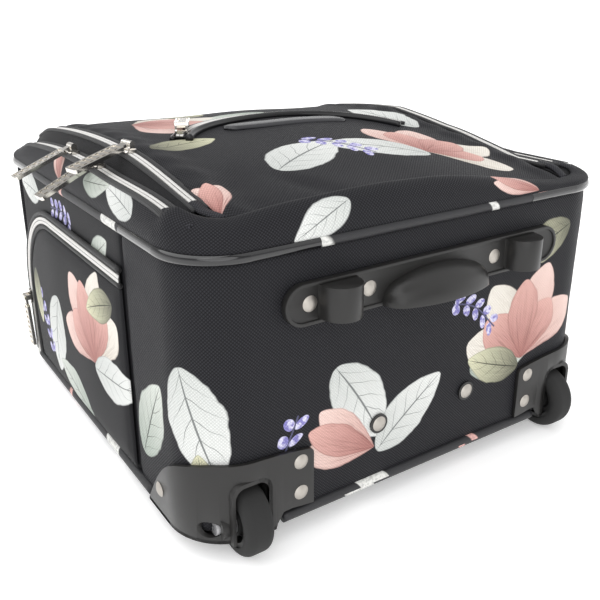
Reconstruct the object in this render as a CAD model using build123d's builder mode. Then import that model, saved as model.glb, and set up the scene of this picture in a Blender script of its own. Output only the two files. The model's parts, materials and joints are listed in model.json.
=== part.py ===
"""A small soft-sided carry-on bag on two wheels, with a telescoping handle.

The bag is modelled in its own frame: x across, y up from its bottom panel, z from its back to its
front. It is then laid down on its back as it comes to rest, on its wheels and its top back edge.
"""

from build123d import *
from math import asin, atan2, cos, degrees, hypot, radians, sin, sqrt, tan
import os

# How far a cutting shape reaches past what it cuts
MARGIN = 10.0

# Gaps: between pieces that are sewn or fastened together, and between pieces that run in each other
SEAT = 0.2
RUN = 0.06
SLIDE = 0.2

# The body
BODY_WIDTH = 355.0
BODY_HEIGHT = 370.0
CORNER_R = 39.0
CLOTH = 2.4
LOWER_SEAM_Y = 95.0
UPPER_SEAM_Y = BODY_HEIGHT - CORNER_R
PIPING_R = 3.75
PIPING_BACK_Z = 3.0
PIPING_FRONT_Z = 186.0
GUARD_ALONG_BOTTOM = BODY_WIDTH / 2 - 86.5
GUARD_UP_SIDE_Y = 90.0
GUARD_DOWN_SIDE_Y = BODY_HEIGHT - 95.0

# The front: a crowned panel inside two lanes of zip, each lane set in from the body's outline
CROWN_Z = 224.0
CROWN_Y = BODY_HEIGHT / 2
CROWN_R = 951.0
BAND_LEAN = 15.0
BAND_INSET = 1.2
OUTER_ZIP_INSET = 6.4
LANE_WIDTH = 8.4
GUSSET_WIDTH = 8.6
OUTER_ZIP_DROP = 12.0
INNER_ZIP_DROP = 1.0
LANE_FOOT_Y = 38.0
TAB_DROP = 7.0
TAPE = 2.0
COIL_WIDTH = 4.0
COIL_RISE = 1.4

# The arched pocket on the front and the bare patch over it
ARCH_HALF = BODY_WIDTH / 2 - 74.5
ARCH_END_Y = BODY_HEIGHT / 2 - 27.0
ARCH_TOP_Y = ARCH_END_Y + 56.0
ARCH_BAND = 9.0
ROLL_BAND = 6.0
PATCH_LENGTH = 115.0
PATCH_HEIGHT = 20.0
PATCH_Y = ARCH_TOP_Y - 38.0
PATCH_RISE = 1.8

# The pocket on the left side
SIDE_ZIP_Z = 152.0
SIDE_ZIP_BEND_R = 80.0
SIDE_ZIP_END_Y = BODY_HEIGHT - 42.0
SIDE_ZIP_WIDTH = 11.0
POCKET_FOOT_Z = 9.0
POCKET_BULGE = 6.0
POCKET_BULGE_R = 1325.0

# Sliders and their ridged bars
SLIDER_WIDTH = 8.4
SLIDER_LENGTH = 13.0
SLIDER_THICK = 1.8
EAR_WIDTH = 4.4
EAR_THICK = 1.4
PIVOT_RISE = 5.2
PULL_PIN_R = 1.0
KNUCKLE_R = 2.2
KNUCKLE_WIDTH = 6.0
PULL_LENGTH = 48.0
PULL_NECK = 7.0
PULL_WIDTH = 11.0
PULL_THICK = 2.6
PULL_RIM = 1.4
PULL_RIDGES = 7
PULL_RIDGE_RISE = 0.7
SLIDER_PLACES = {
    "inner_zip": (140.0, 18.0, 12.0),
    "outer_zip_near": (153.0, 8.0, 24.0),
    "outer_zip_far": (206.0, 3.0, 22.0),
    "front_pocket": (4.0, -80.0, 4.0),
    "side_pocket": (64.0, 90.0, 2.0),
}
PULL_SWING = {
    "inner_zip": 150.0,
    "outer_zip_near": 120.0,
    "outer_zip_far": 120.0,
    "front_pocket": 150.0,
    "side_pocket": 150.0,
}

# Wheels
WHEEL_X = BODY_WIDTH / 2 - 35.5
WHEEL_Y = 9.1
WHEEL_Z = 9.4
WHEEL_R = 25.0
TYRE_WIDTH = 20.0
TYRE_FLOOR_R = 17.5
TREAD_ROUND = 6.0
HUB_WIDTH = 18.0
HUB_WEB = 7.0
HUB_RIM_R = 14.6
BEARING_R = 8.0
BEARING_WIDTH = 5.0
AXLE_R = 3.0
AXLE_HEAD_R = 5.2
AXLE_HEAD = 2.5
AXLE_TAIL = 3.4
AXLE_NUT = 2.4

# Wheel housings: a guard round each lower corner with a well that holds the wheel
GUARD_THICK = 2.7
HOUSING_IN = BODY_WIDTH / 2 - 81.5
HOUSING_UP = 74.0
HOUSING_LOW_Z = -1.0
HOUSING_FLOOR = 2.6
HOUSING_TOP = ((0.0, 45.0), (8.0, 51.5), (44.0, 50.5), (88.0, 55.0))
HOUSING_SIDE = ((6.0, 57.0), (36.0, 45.0), (60.0, 25.0), (74.0, 5.0))
WELL_R = 32.0
WELL_WIDTH = 24.0
WELL_WALL = 2.6
BOSS_R = 9.0
BOSS_RECESS = 0.5
BOSS_END_X = BODY_WIDTH / 2 - 13.0
FLANK_RIVET = (52.0, 19.0)
FACE_RIVETS = ((HOUSING_IN + 10.0, 43.0), (HOUSING_IN + 10.0, 20.0))
RIVET_R = 5.2
RIVET_RISE = 2.0
RIVET_SHANK_R = 1.8

# The foot bar with its two feet and the cup pull
BAR_HALF = 118.0
BAR_END_RIVET = 18.0
BAR_Z = 150.5
BAR_HEIGHT = 27.0
BAR_THICK = 3.2
BAR_RIM = 2.4
BAR_RIM_RISE = 1.6
FOOT_X = BAR_HALF - 38.5
FOOT_REACH = 20.0
FOOT_BASE = (30.0, 22.0)
FOOT_NOSE = (27.0, 17.0)
FOOT_CORNER_R = 7.0
FOOT_ROUND = 2.2
CUP_HALF = 45.0
CUP_R = 20.0
CUP_MOUTH_Z = 137.0
CUP_WALL = 2.4
BAR_RIVETS = (BAR_END_RIVET - BAR_HALF, 24.5 - FOOT_X, FOOT_X - 24.5, BAR_HALF - BAR_END_RIVET)

# The studs that hold the handle's foot bracket
STUD_X = 41.0
STUD_Z = 48.0
STUD_R = 5.5
STUD_WASHER_R = 7.2
STUD_WASHER = 1.0

# The telescoping handle
TUBE_X = 60.0
TUBE_Z = 22.0
OUTER_TUBE = (22.0, 13.0, 1.2)
MIDDLE_WALL = 1.0
INNER_WALL = 1.0
OUTER_TUBE_TOP = BODY_HEIGHT - 18.5
MIDDLE_TUBE_FOOT = 12.0
MIDDLE_TUBE_TOP = BODY_HEIGHT - 11.3
INNER_TUBE_FOOT = 18.0
INNER_TUBE_TOP = BODY_HEIGHT - 4.2
BEZEL_HALF = 97.0
BEZEL_LIP = 2.8
CUP_OUTER = (180.0, 26.0)
CUP_SIDE = 2.5
CUP_FLOOR = (BODY_HEIGHT - 18.0, BODY_HEIGHT - 15.5)
SLEEVE_DEPTH = 12.0
COLLAR = (24.0, 14.0, 4.0)
GRIP_HALF = 84.0
GRIP_FOOT = BODY_HEIGHT - 11.0
GRIP_TOP = GRIP_FOOT + 22.0
GRIP_DEPTH = 18.0
BUTTON_HALF = 20.0
BUTTON_DEPTH = 10.0
BUTTON_RISE = 2.5
YOKE_HALF = 64.0
YOKE = (GRIP_FOOT + 13.0, GRIP_FOOT + 17.8)
YOKE_DEPTH = 11.0
BUTTON_TRAVEL = 3.0
ROD_R = 1.8
ROD_FOOT = 46.0
PIN_Y = 36.0
PIN_R = 2.0
PIN_LENGTH = 5.0
BRACKET_HALF = 78.0
BRACKET_PLATE = 2.6
BRACKET_TOP_Z = 58.0
BRACKET_CUP = 24.0

# Boards and the wire frame inside, and the carry handle on the top
BOARD = 2.0
BOARD_INSET = 8.0
WIRE_R = 1.5
CARRY_HALF = 78.0
CARRY_Z = 108.0
CARRY_WIDTH = 26.0
CARRY_THICK = 4.0
CARRY_RISE = 21.0
CARRY_TAB = 20.0

# Places that follow from the sizes above
HALF = BODY_WIDTH / 2
GUSSET_INSET = OUTER_ZIP_INSET + LANE_WIDTH + SEAT
INNER_ZIP_INSET = GUSSET_INSET + GUSSET_WIDTH + SEAT
PANEL_INSET = INNER_ZIP_INSET + LANE_WIDTH + SEAT
WALL_LOW = PIPING_BACK_Z + PIPING_R + 0.1
WALL_HIGH = PIPING_FRONT_Z - PIPING_R - 0.1
BACK_LOW = PIPING_BACK_Z - CLOTH / 2
BACK_HIGH = BACK_LOW + CLOTH
BOARD_LOW = BACK_HIGH + SEAT
WELL_LENGTH = WELL_R + WELL_WALL
MIDDLE_TUBE = (OUTER_TUBE[0] - 2 * OUTER_TUBE[2] - 2 * SLIDE, OUTER_TUBE[1] - 2 * OUTER_TUBE[2] - 2 * SLIDE)
INNER_TUBE = (MIDDLE_TUBE[0] - 2 * MIDDLE_WALL - 2 * SLIDE, MIDDLE_TUBE[1] - 2 * MIDDLE_WALL - 2 * SLIDE)

# The bag lies on its wheels and on the piping at the top of its back: the angle of that lean
LEAN_DEPTH = WHEEL_Z - PIPING_BACK_Z
LEAN_LENGTH = BODY_HEIGHT - CLOTH / 2 - WHEEL_Y
LEAN = degrees(asin((WHEEL_R - PIPING_R) / hypot(LEAN_DEPTH, LEAN_LENGTH)) - atan2(LEAN_DEPTH, LEAN_LENGTH))
FLOOR_DROP = WHEEL_R - WHEEL_Z * cos(radians(LEAN)) + WHEEL_Y * sin(radians(LEAN))

# The bag's furthest points set the middle of the model: along y from the cup pull to the carry
# handle, and across from the tip of the far pull to the rivet on the right wheel housing
_, FAR_SKEW, FAR_TIP = SLIDER_PLACES["outer_zip_far"]
FAR_REACH = PULL_LENGTH * cos(radians(FAR_TIP)) * cos(radians(FAR_SKEW))
REACH_LEFT = -HALF + OUTER_ZIP_INSET + LANE_WIDTH / 2 - FAR_REACH
REACH_RIGHT = HALF + SEAT + GUARD_THICK + RIVET_RISE
REACH_LOW = -SEAT - BAR_THICK - CUP_R
REACH_HIGH = BODY_HEIGHT + SEAT + CARRY_RISE + CARRY_THICK


def laid_place():
    """Return where the bag's own frame goes when it lies at rest"""
    low = REACH_LOW * cos(radians(LEAN)) + CUP_MOUTH_Z * sin(radians(LEAN))
    high = REACH_HIGH * cos(radians(LEAN)) + (CARRY_Z + CARRY_WIDTH / 2) * sin(radians(LEAN))
    return Location((-(REACH_LEFT + REACH_RIGHT) / 2, -(low + high) / 2, FLOOR_DROP), (-LEAN, 0, 0))


def save(piece, node):
    """Lay a finished piece down with the bag and write it under its node's name"""
    laid = laid_place() * piece.part
    laid.label = node
    export_step(laid, f"parts/{node}.step")


def outline(inset):
    """Draw the bag's outline, seen from its front, set in by an amount"""
    with Locations((0, BODY_HEIGHT / 2)):
        RectangleRounded(BODY_WIDTH - 2 * inset, BODY_HEIGHT - 2 * inset, max(CORNER_R - inset, 6.0))


def outline_hole(inset):
    """Cut the bag's outline, set in by an amount, out of a drawing"""
    with Locations((0, BODY_HEIGHT / 2)):
        RectangleRounded(
            BODY_WIDTH - 2 * inset,
            BODY_HEIGHT - 2 * inset,
            max(CORNER_R - inset, 6.0),
            mode=Mode.SUBTRACT,
        )


def block(x, y, z, mode=Mode.ADD):
    """Make a box from its low and high ends along each axis"""
    middle = [(low + high) / 2 for low, high in (x, y, z)]
    with Locations(tuple(middle)):
        Box(x[1] - x[0], y[1] - y[0], z[1] - z[0], mode=mode)


def crown_height(y, drop=0.0):
    """Return how high the crowned front stands at a distance up the bag"""
    return CROWN_Z - drop - CROWN_R + sqrt(CROWN_R**2 - (y - CROWN_Y) ** 2)


def crowned_slab(low_drop, high_drop, start=-30.0, stop=BODY_HEIGHT + 30.0):
    """Make a curved slab across the whole bag between two drops below the crown"""
    ends = (start, (start + stop) / 2, stop)
    with BuildPart() as slab:
        with BuildSketch(Plane.YZ):
            with BuildLine():
                top = ThreePointArc(*[(y, crown_height(y, high_drop)) for y in ends])
                foot = ThreePointArc(*[(y, crown_height(y, low_drop)) for y in ends])
                Line(top @ 0, foot @ 0)
                Line(top @ 1, foot @ 1)
            make_face()
        extrude(amount=BODY_WIDTH, both=True)
    return slab.part


def wall_ring(y_from, y_to, x_side=0):
    """Make a stretch of the body's wall between two distances up the bag, on one side or both"""
    with BuildPart() as wall:
        with BuildSketch(Plane.XY.offset(WALL_LOW)):
            outline(0)
            outline_hole(CLOTH)
            with Locations((x_side * BODY_WIDTH / 2, (y_from + y_to) / 2)):
                Rectangle(BODY_WIDTH if x_side else 2 * BODY_WIDTH, y_to - y_from, mode=Mode.INTERSECT)
        extrude(amount=WALL_HIGH - WALL_LOW)
    return wall.part


def piping_run(start, end, z, radius):
    """Make a straight stretch of piping between two points of the outline's middle"""
    with BuildPart() as run:
        with BuildSketch(Plane(origin=(*start, z), z_dir=(end[0] - start[0], end[1] - start[1], 0))):
            Circle(radius)
        extrude(amount=hypot(end[0] - start[0], end[1] - start[1]))
    return run.part


def rivet(plane, head_r, rise, grip, tail_r):
    """Make a domed rivet on a plane, whose shank goes in through what it holds"""
    with BuildPart() as fastener:
        with BuildSketch(Plane.XZ):
            with BuildLine():
                dome = ThreePointArc((0, rise), (head_r * 0.62, rise * 0.72), (head_r, SEAT))
                Polyline(
                    dome @ 1,
                    (RIVET_SHANK_R, SEAT),
                    (RIVET_SHANK_R, -grip - SEAT),
                    (tail_r, -grip - SEAT),
                    (tail_r, -grip - SEAT - 1.0),
                    (0, -grip - SEAT - 1.0),
                    dome @ 0,
                )
            make_face()
        revolve(axis=Axis.Z)
    return plane.location * fastener.part


def down_plane(x, y, z):
    """Return a plane on the bottom panel's side that faces away from the bag"""
    return Plane(origin=(x, y, z), x_dir=(1, 0, 0), z_dir=(0, -1, 0))


os.makedirs("parts", exist_ok=True)

# Body walls

well_x = (
    WHEEL_X - WELL_WIDTH / 2 - WELL_WALL - AXLE_TAIL - SEAT,
    WHEEL_X + WELL_WIDTH / 2 + WELL_WALL + SEAT,
)
boss_x = (WHEEL_X, BOSS_END_X + SEAT)
boss_y = (-MARGIN, WHEEL_Y + BOSS_R + SEAT)
boss_z = (-MARGIN, WHEEL_Z + BOSS_R + SEAT)
well_y = (-MARGIN, WHEEL_Y + WELL_LENGTH + SEAT)
well_z = (-MARGIN, WHEEL_Z + WELL_LENGTH + SEAT)

with BuildPart() as bottom_panel:
    add(wall_ring(-MARGIN, LOWER_SEAM_Y - SEAT / 2))
    for side in (-1, 1):
        block(sorted((side * well_x[0], side * well_x[1])), well_y, well_z, mode=Mode.SUBTRACT)
        block(sorted((side * boss_x[0], side * boss_x[1])), boss_y, boss_z, mode=Mode.SUBTRACT)
    with Locations(*[down_plane(x, CLOTH, STUD_Z) for x in (-STUD_X, STUD_X)]):
        Cylinder(RIVET_SHANK_R + RUN, 3 * CLOTH, mode=Mode.SUBTRACT)
    with Locations(*[down_plane(x, CLOTH, BAR_Z) for x in BAR_RIVETS]):
        Cylinder(RIVET_SHANK_R + RUN, 3 * CLOTH, mode=Mode.SUBTRACT)
    with Locations(*[down_plane(s * x, CLOTH, z) for s in (-1, 1) for x, z in FACE_RIVETS]):
        Cylinder(RIVET_SHANK_R + RUN, 3 * CLOTH, mode=Mode.SUBTRACT)
    with Locations(*[Plane(origin=(s * HALF, *FLANK_RIVET), z_dir=(s, 0, 0)) for s in (-1, 1)]):
        Cylinder(RIVET_SHANK_R + RUN, 3 * CLOTH, mode=Mode.SUBTRACT)
save(bottom_panel, "bottom_panel")

with BuildPart() as left_side_panel:
    add(wall_ring(LOWER_SEAM_Y + SEAT / 2, UPPER_SEAM_Y - SEAT / 2, x_side=-1))
save(left_side_panel, "left_side_panel")

with BuildPart() as right_side_panel:
    add(wall_ring(LOWER_SEAM_Y + SEAT / 2, UPPER_SEAM_Y - SEAT / 2, x_side=1))
save(right_side_panel, "right_side_panel")

cup_x = (-CUP_OUTER[0] / 2 - SEAT, CUP_OUTER[0] / 2 + SEAT)
cup_z = (TUBE_Z - CUP_OUTER[1] / 2 - SEAT, TUBE_Z + CUP_OUTER[1] / 2 + SEAT)

with BuildPart() as top_panel:
    add(wall_ring(UPPER_SEAM_Y + SEAT / 2, BODY_HEIGHT + 10.0))
    block(cup_x, (BODY_HEIGHT - 10, BODY_HEIGHT + 10), cup_z, mode=Mode.SUBTRACT)
save(top_panel, "top_panel")

with BuildPart() as back_panel:
    with BuildSketch(Plane.XY.offset(BACK_LOW)):
        outline(CLOTH / 2 + PIPING_R + SEAT)
        for side in (-1, 1):
            with Locations((side * (well_x[0] + well_x[1]) / 2, (well_y[0] + well_y[1]) / 2)):
                Rectangle(well_x[1] - well_x[0], well_y[1] - well_y[0], mode=Mode.SUBTRACT)
            with Locations((side * (boss_x[0] + boss_x[1]) / 2, (boss_y[0] + boss_y[1]) / 2)):
                Rectangle(boss_x[1] - boss_x[0], boss_y[1] - boss_y[0], mode=Mode.SUBTRACT)
    extrude(amount=CLOTH)
save(back_panel, "back_panel")

# The front: band, gusset, crowned panel and the tabs at the zips' feet

BAND_FOOT = PIPING_FRONT_Z + PIPING_R + 0.1
BAND_RISE = 40.0
RIDGE_RISE = crown_height(CLOTH * 4) - BAND_FOOT
RIDGE_INSET = BAND_INSET + CLOTH + RIDGE_RISE * tan(radians(BAND_LEAN)) + SEAT
below_crown = crowned_slab(OUTER_ZIP_DROP + 40.0, 0.0)
over_lanes = crowned_slab(OUTER_ZIP_DROP + TAPE + SEAT, -30.0, start=RIDGE_INSET + 3.0)

with BuildPart() as front_band:
    with BuildSketch(Plane.XY.offset(BAND_FOOT)):
        outline(BAND_INSET)
    extrude(amount=BAND_RISE, taper=BAND_LEAN)
    with BuildSketch(Plane.XY.offset(BAND_FOOT)):
        outline(BAND_INSET + CLOTH)
    extrude(amount=BAND_RISE, taper=BAND_LEAN, mode=Mode.SUBTRACT)
    add(below_crown, mode=Mode.INTERSECT)
    add(over_lanes, mode=Mode.SUBTRACT)
save(front_band, "front_band")


def lane(outer_inset, inner_inset, slab):
    """Make a lane round three sides of the front that follows the crown"""
    with BuildPart() as strip:
        with BuildSketch(Plane.XY.offset(CROWN_Z - 60)):
            outline(outer_inset)
            outline_hole(inner_inset)
            with Locations((0, LANE_FOOT_Y - BODY_HEIGHT / 2)):
                Rectangle(2 * BODY_WIDTH, BODY_HEIGHT, mode=Mode.SUBTRACT)
        extrude(amount=90)
        add(slab, mode=Mode.INTERSECT)
    return strip.part


def zip_lane(inset, drop):
    """Make a long zip: its tape and the raised coil along the middle of it"""
    tape = lane(inset, inset + LANE_WIDTH, crowned_slab(drop + TAPE, drop))
    coil_inset = inset + (LANE_WIDTH - COIL_WIDTH) / 2
    coil = lane(coil_inset, coil_inset + COIL_WIDTH, crowned_slab(drop + TAPE, drop - COIL_RISE))
    with BuildPart() as both:
        add(tape)
        add(coil)
    return both


outer_zip = zip_lane(OUTER_ZIP_INSET, OUTER_ZIP_DROP)
save(outer_zip, "outer_zip")

inner_zip = zip_lane(INNER_ZIP_INSET, INNER_ZIP_DROP)
save(inner_zip, "inner_zip")

gusset_strip = lane(
    GUSSET_INSET,
    INNER_ZIP_INSET - SEAT,
    crowned_slab(OUTER_ZIP_DROP + TAPE, INNER_ZIP_DROP + TAPE / 2),
)
with BuildPart() as front_gusset:
    add(gusset_strip)
save(front_gusset, "front_gusset")

panel_slab = crowned_slab(CLOTH, 0.0)
PANEL_HALF = HALF - PANEL_INSET

with BuildPart() as front_panel:
    with BuildSketch(Plane.XY.offset(CROWN_Z - 60)):
        outline(PANEL_INSET)
        with Locations((0, BODY_HEIGHT / 4)):
            Rectangle(2 * PANEL_HALF, BODY_HEIGHT / 2)
        with Locations((0, BODY_HEIGHT / 2)):
            RectangleRounded(
                BODY_WIDTH - 2 * RIDGE_INSET,
                BODY_HEIGHT - 2 * RIDGE_INSET,
                CORNER_R - RIDGE_INSET,
                mode=Mode.INTERSECT,
            )
    extrude(amount=90)
    add(panel_slab, mode=Mode.INTERSECT)
save(front_panel, "front_panel")

tab_slab = crowned_slab(OUTER_ZIP_DROP + TAPE, TAB_DROP - CLOTH)
with BuildPart() as zip_end_tabs:
    with BuildSketch(Plane.XY.offset(CROWN_Z - 60)):
        with Locations((0, BODY_HEIGHT / 2)):
            RectangleRounded(
                BODY_WIDTH - 2 * RIDGE_INSET,
                BODY_HEIGHT - 2 * RIDGE_INSET,
                CORNER_R - RIDGE_INSET,
            )
        with Locations((0, BODY_HEIGHT / 2 + LANE_FOOT_Y - SEAT)):
            Rectangle(2 * BODY_WIDTH, BODY_HEIGHT, mode=Mode.SUBTRACT)
        Rectangle(2 * (PANEL_HALF + SEAT), BODY_HEIGHT, mode=Mode.SUBTRACT)
    extrude(amount=90)
    add(tab_slab, mode=Mode.INTERSECT)
save(zip_end_tabs, "zip_end_tabs")


ARCH_RISE = ARCH_TOP_Y - ARCH_END_Y
ARCH_R = (ARCH_HALF**2 + ARCH_RISE**2) / (2 * ARCH_RISE)
ARCH_TURN = degrees(asin(ARCH_HALF / ARCH_R))


def arch_strip(shift, width, rise):
    """Make a strip along the front pocket's arch, on top of the crowned panel"""
    strip_slab = crowned_slab(-SEAT, -rise)
    with BuildPart() as strip:
        with BuildSketch(Plane.XY.offset(CROWN_Z - 60)):
            with BuildLine():
                CenterArc((0, ARCH_TOP_Y - ARCH_R), ARCH_R - shift, 90 - ARCH_TURN, 2 * ARCH_TURN)
            trace(line_width=width)
        extrude(amount=90)
        add(strip_slab, mode=Mode.INTERSECT)
    return strip.part


with BuildPart() as front_pocket_zip:
    add(arch_strip(0, ARCH_BAND, TAPE))
    add(arch_strip(0, COIL_WIDTH, TAPE + COIL_RISE))
save(front_pocket_zip, "front_pocket_zip")

with BuildPart() as front_pocket_roll:
    add(arch_strip((ARCH_BAND + ROLL_BAND) / 2 + 2 * SEAT, ROLL_BAND, 1.5 * CLOTH))
save(front_pocket_roll, "front_pocket_roll")

patch_slab = crowned_slab(-SEAT, -PATCH_RISE)
with BuildPart() as name_patch:
    with BuildSketch(Plane.XY.offset(CROWN_Z - 60)):
        with Locations((0, PATCH_Y)):
            SlotOverall(PATCH_LENGTH, PATCH_HEIGHT)
    extrude(amount=90)
    add(patch_slab, mode=Mode.INTERSECT)
save(name_patch, "name_patch")

# The side pocket on the left

side_plane = Plane.YZ.offset(-HALF - SEAT)
bend_y = SIDE_ZIP_END_Y - SIDE_ZIP_BEND_R
bend_z = SIDE_ZIP_Z - SIDE_ZIP_BEND_R
pocket_foot_y = LOWER_SEAM_Y + SEAT + 1.0


def side_zip_line():
    """Draw the side zip's path: up the side, round a wide bend and down to the back"""
    rise = Line((pocket_foot_y, SIDE_ZIP_Z), (bend_y, SIDE_ZIP_Z))
    bend = CenterArc((bend_y, bend_z), SIDE_ZIP_BEND_R, 90, -90)
    Line(bend @ 1, (SIDE_ZIP_END_Y, POCKET_FOOT_Z))


with BuildPart() as side_pocket_zip:
    with BuildSketch(side_plane):
        with BuildLine():
            side_zip_line()
        trace(line_width=SIDE_ZIP_WIDTH)
    extrude(amount=-TAPE)
    with BuildSketch(side_plane):
        with BuildLine():
            side_zip_line()
        trace(line_width=COIL_WIDTH)
    extrude(amount=-TAPE - COIL_RISE)
save(side_pocket_zip, "side_pocket_zip")

bulge = Location((-HALF - SEAT - POCKET_BULGE + POCKET_BULGE_R, (pocket_foot_y + SIDE_ZIP_END_Y) / 2, 0)) * Cylinder(
    POCKET_BULGE_R, 2 * PIPING_FRONT_Z
)
pocket_margin = SIDE_ZIP_WIDTH / 2 + SEAT

with BuildPart() as side_pocket_panel:
    with BuildSketch(side_plane):
        with BuildLine():
            edge = Line((pocket_foot_y, SIDE_ZIP_Z - pocket_margin), (bend_y, SIDE_ZIP_Z - pocket_margin))
            turn = CenterArc((bend_y, bend_z), SIDE_ZIP_BEND_R - pocket_margin, 90, -90)
            Polyline(
                turn @ 1,
                (SIDE_ZIP_END_Y - pocket_margin, POCKET_FOOT_Z),
                (pocket_foot_y, POCKET_FOOT_Z),
                edge @ 0,
            )
        make_face()
    extrude(amount=-POCKET_BULGE - 4.0)
    add(bulge, mode=Mode.INTERSECT)
save(side_pocket_panel, "side_pocket_panel")

# Piping, with glossy guards round the four corners of the front

PIPE_INSET = CLOTH / 2
pipe_x = HALF - PIPE_INSET
pipe_y = (PIPE_INSET, BODY_HEIGHT - PIPE_INSET)

with BuildPart() as front_piping:
    for side in (-1, 1):
        add(
            piping_run(
                (side * pipe_x, GUARD_UP_SIDE_Y + SEAT),
                (side * pipe_x, GUARD_DOWN_SIDE_Y - SEAT),
                PIPING_FRONT_Z,
                PIPING_R,
            )
        )
    for y in pipe_y:
        add(piping_run((-GUARD_ALONG_BOTTOM + SEAT, y), (GUARD_ALONG_BOTTOM - SEAT, y), PIPING_FRONT_Z, PIPING_R))
save(front_piping, "front_piping")


def corner_guard(side, y, along_y):
    """Make the glossy guard over one corner of the front piping"""
    edge_radius = CORNER_R - PIPE_INSET
    with BuildPart() as guard:
        with BuildLine(Plane.XY.offset(PIPING_FRONT_Z)) as path:
            FilletPolyline((side * GUARD_ALONG_BOTTOM, y), (side * pipe_x, y), (side * pipe_x, along_y), radius=edge_radius)
        with BuildSketch(Plane(origin=path.line @ 0, z_dir=path.line % 0)):
            Circle(PIPING_R)
        sweep()
    return guard.part


with BuildPart() as corner_guards:
    for side in (-1, 1):
        add(corner_guard(side, pipe_y[0], GUARD_UP_SIDE_Y))
        add(corner_guard(side, pipe_y[1], GUARD_DOWN_SIDE_Y))
save(corner_guards, "corner_guards")

with BuildPart() as back_piping:
    with BuildLine(Plane.XY.offset(PIPING_BACK_Z)) as path:
        FilletPolyline(
            (-pipe_x, HOUSING_UP + SEAT),
            (-pipe_x, pipe_y[1]),
            (pipe_x, pipe_y[1]),
            (pipe_x, HOUSING_UP + SEAT),
            radius=CORNER_R - PIPE_INSET,
        )
    with BuildSketch(Plane(origin=path.line @ 0, z_dir=path.line % 0)):
        Circle(PIPING_R)
    sweep()
    add(piping_run((-HOUSING_IN + SEAT, pipe_y[0]), (HOUSING_IN - SEAT, pipe_y[0]), PIPING_BACK_Z, PIPING_R))
save(back_piping, "back_piping")

wire_inset = PIPE_INSET + PIPING_R + SEAT + WIRE_R
wire_x = HALF - wire_inset
with BuildPart() as wire_frame:
    with BuildLine(Plane.XY.offset(PIPING_FRONT_Z)) as path:
        FilletPolyline(
            (-wire_x, wire_inset),
            (-wire_x, BODY_HEIGHT - wire_inset),
            (wire_x, BODY_HEIGHT - wire_inset),
            (wire_x, wire_inset),
            radius=CORNER_R - wire_inset,
            close=True,
        )
    with BuildSketch(Plane(origin=path.line @ 0, z_dir=path.line % 0)):
        Circle(WIRE_R)
    sweep()
save(wire_frame, "wire_frame")

# Wheel housings

skin_low = HOUSING_LOW_Z
skin_high = HOUSING_TOP[-1][1] + 5.0
skin_out = GUARD_THICK + SEAT


def housing_face(side):
    """Make the shape that cuts the guard's outline seen from below: its curved top"""
    with BuildPart() as face:
        with BuildSketch(Plane.XZ.offset(-HOUSING_UP - 2 * MARGIN)):
            with BuildLine():
                rise = [(side * (HOUSING_IN + x), z) for x, z in HOUSING_TOP]
                top = Spline(*rise)
                Polyline(
                    top @ 1,
                    (rise[-1][0], skin_low - MARGIN),
                    (rise[0][0], skin_low - MARGIN),
                    top @ 0,
                )
            make_face()
        extrude(amount=HOUSING_UP + 6 * MARGIN)
    return face.part


def housing_flank(side):
    """Make the shape that cuts the guard's outline seen from the side, as it falls to its tip"""
    with BuildPart() as flank:
        with BuildSketch(Plane.YZ.offset(side * HOUSING_IN / 2)):
            with BuildLine():
                fall = Spline(*HOUSING_SIDE)
                Polyline(
                    fall @ 1,
                    (HOUSING_UP, skin_low - MARGIN),
                    (-2 * MARGIN, skin_low - MARGIN),
                    (-2 * MARGIN, skin_high),
                    (HOUSING_SIDE[0][0], skin_high),
                    fall @ 0,
                )
            make_face()
        extrude(amount=side * HALF)
    return flank.part


def wheel_housing(side):
    """Make one moulded corner guard with the well that its wheel turns in"""
    axle = Plane(origin=(side * WHEEL_X, WHEEL_Y, WHEEL_Z), z_dir=(side, 0, 0))
    window = (HALF - HOUSING_IN + 2 * MARGIN, HOUSING_UP + 2 * MARGIN)
    window_middle = (side * (HOUSING_IN + window[0] / 2), HOUSING_UP - window[1] / 2)
    beyond = (-2 * BODY_HEIGHT, 2 * BODY_HEIGHT)
    boss_length = BOSS_END_X - WHEEL_X
    with BuildPart() as housing:
        with BuildSketch(Plane.XY.offset(skin_low)):
            outline(-skin_out)
            outline_hole(-SEAT)
            with Locations(window_middle):
                Rectangle(*window, mode=Mode.INTERSECT)
        extrude(amount=skin_high - skin_low)
        with BuildSketch(Plane.XY.offset(skin_low)):
            outline(-skin_out)
            with Locations(window_middle):
                Rectangle(*window, mode=Mode.INTERSECT)
        extrude(amount=HOUSING_FLOOR)
        add(housing_face(side), mode=Mode.INTERSECT)
        add(housing_flank(side), mode=Mode.INTERSECT)
        with Locations(axle.location):
            Cylinder(WELL_LENGTH, WELL_WIDTH + 2 * WELL_WALL)
        block(beyond, (beyond[0], -skin_out), beyond, mode=Mode.SUBTRACT)
        block(beyond, beyond, (beyond[0], skin_low), mode=Mode.SUBTRACT)
        with Locations(axle * Pos(0, 0, boss_length / 2)):
            Cylinder(BOSS_R, boss_length)
        with Locations(axle.location):
            Cylinder(WELL_R, WELL_WIDTH, mode=Mode.SUBTRACT)
            Cylinder(AXLE_R + RUN, 2 * boss_length + MARGIN, mode=Mode.SUBTRACT)
        with Locations(axle * Pos(0, 0, boss_length)):
            Cylinder(AXLE_HEAD_R + 2 * RUN, 2 * (AXLE_HEAD + BOSS_RECESS), mode=Mode.SUBTRACT)
        with Locations(*[down_plane(side * x, 0, z) for x, z in FACE_RIVETS]):
            Cylinder(RIVET_SHANK_R + RUN, 2 * MARGIN, mode=Mode.SUBTRACT)
        with Locations(Plane(origin=(side * HALF, *FLANK_RIVET), z_dir=(side, 0, 0))):
            Cylinder(RIVET_SHANK_R + RUN, 2 * MARGIN, mode=Mode.SUBTRACT)
    return housing


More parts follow.
